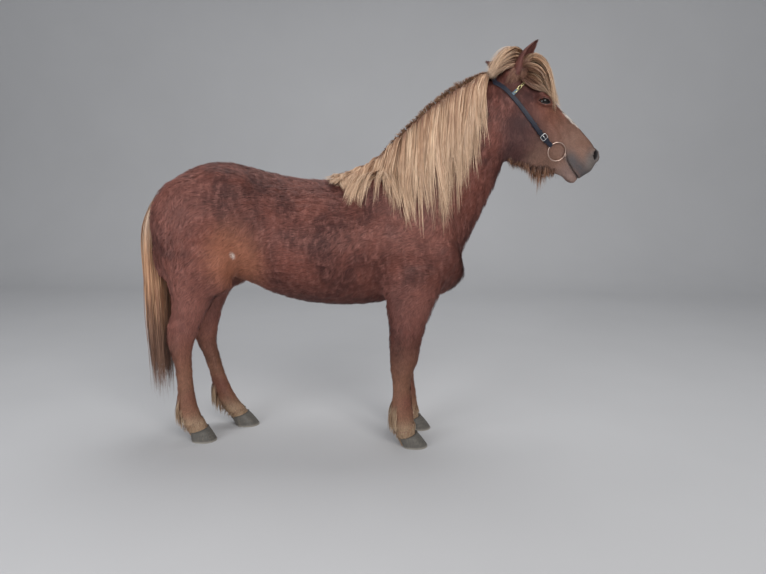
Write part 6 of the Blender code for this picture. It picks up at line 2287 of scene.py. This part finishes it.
brow_line = resampled(eased(brow_path()), LINK_SPACING / 4)


def link_places():
    """Links four steps apart, every other one rolled up on its edge."""
    places = []
    for k in range(4, len(brow_line) - 4, 4):
        ahead, side, up = frame_at(brow_line, k)
        roll = math.radians(38 if (k // 4) % 2 else -38)
        turned = side * math.cos(roll) + up * math.sin(roll)
        places.append((brow_line[k][0] + up * 0.0072, ahead, turned, ahead.cross(turned)))
    return places


chain = repeated("chain", chain_link(), link_places(), brass)
loops = [band("loop", stretch, 0.015, 0.0014, 0.0068) for stretch in (brow_line[:6], brow_line[-6:])]
loops = finished(joined("browband_loops", loops), loop_leather, 45)
print("chain:", triangle_count(chain), "links:", len(link_places()))

# %% Ring bits and buckles
def cheek_frame(s, t, side, lift):
    """A point held over the cheek, with directions along the head, up the head and outwards."""
    point, _ = cheek_point(s, t, side)
    ahead, _ = cheek_point(s + 0.035, t, side)
    behind, _ = cheek_point(s - 0.035, t, side)
    along = (ahead - behind).normalized()
    outward = Vector((0, side, 0))
    outward = (outward - along * outward.dot(along)).normalized()
    up = along.cross(outward) * (1 if side > 0 else -1)
    up = -up if up.dot(HEAD_UP) < 0 else up
    return point + outward * lift, along, up, outward


# The bit's barrel and the buckle's tongue: how far along, radius.
BARREL = [
    (-0.024, 0.0066), (-0.012, 0.0068), (-0.004, 0.0078), (0.003, 0.0078), (0.0062, 0.0066), (0.0072, 0.0040),
]
TONGUE = [(-0.0135, 0.0004), (-0.0125, 0.0013), (0.0115, 0.0013), (0.0145, 0.0010), (0.0150, 0.0003)]


def bit_end(name, side):
    """A loose ring at the corner of the mouth, with the barrel of the bit on it."""
    centre, along, up, outward = cheek_frame(*RING_CENTRE, side, 0.0085)

    def circle(turn):
        way = along * math.cos(turn) + up * math.sin(turn)
        return centre + way * RING_RADIUS, way.normalized()

    ring = wire_ring("ring", circle, outward, 0.0029, 0.0029, 72, 14)
    middle = centre + (along * 0.90 + up * 0.42).normalized() * RING_RADIUS
    barrel = rod("barrel", middle, outward, along, up, BARREL, 28)
    return finished(joined(name, [ring, barrel]), copper_ring, 40)


def buckle(name, side):
    """A rounded square frame over the strap, with its tongue."""
    point, along, up, outward = cheek_frame(*BUCKLE_PLACE, side, 0.0082)

    def square(turn):
        a, b = math.cos(turn), math.sin(turn)
        swell = (abs(a) ** 4 + abs(b) ** 4) ** -0.25
        middle = point + along * a * swell * 0.0125 + up * b * swell * 0.0145
        return middle, (along * a + up * b).normalized()

    rim = wire_ring("rim", square, outward, 0.0019, 0.0016, 48, 10)
    tongue = rod("tongue", point + outward * 0.0018, along, up, outward, TONGUE, 10)
    return finished(joined(name, [rim, tongue]), steel)


bits = {side: bit_end(f"ring_{side}", sign) for side, sign in SIDES}
buckles = {side: buckle(f"roller_{side}", sign) for side, sign in SIDES}
print("bits and buckles:", sum(triangle_count(p) for p in [*bits.values(), *buckles.values()]))

# %% [markdown]
# ## Closing
#
# The ears join the skin, the skin and the hair take the place of the solids' flesh and locks, and
# each fine piece takes the place of the plain one it was made from. All of it rides the one body.

# %% Replace the solids' nodes and print the pieces and their triangles
store(skin.data, "bare", bare)
skin = finished(joined("skin", [skin, *ears.values()]), short_coat)

FLESH = ["head", "neck", "torso"]
FLESH += [f"{part}_{side}" for part in ("foreleg", "hindleg", "ear") for side in ("right", "left")]
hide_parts(*FLESH)
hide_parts("tail")
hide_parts("headstall")
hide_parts("browband")
for side, _ in SIDES:
    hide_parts(f"eye_{side}")
    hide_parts(f"bit_{side}")
    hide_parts(f"buckle_{side}")
for name, piece in hooves.items():
    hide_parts(f"hoof_{name}")

body = list(frame["bodies"])[0]
hair = [mane, forelock, tail, feather, beard, ear_fringe, lashes, feelers]
bridle = [strap, stitches, chain, loops, *bits.values(), *buckles.values()]
pieces = [skin, *coat, *hair, *eyes.values(), *hooves.values(), *bridle]
for piece in pieces:
    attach(piece, body)

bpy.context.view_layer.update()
print("pieces:", len(pieces), "triangles:", sum(triangle_count(piece) for piece in pieces))
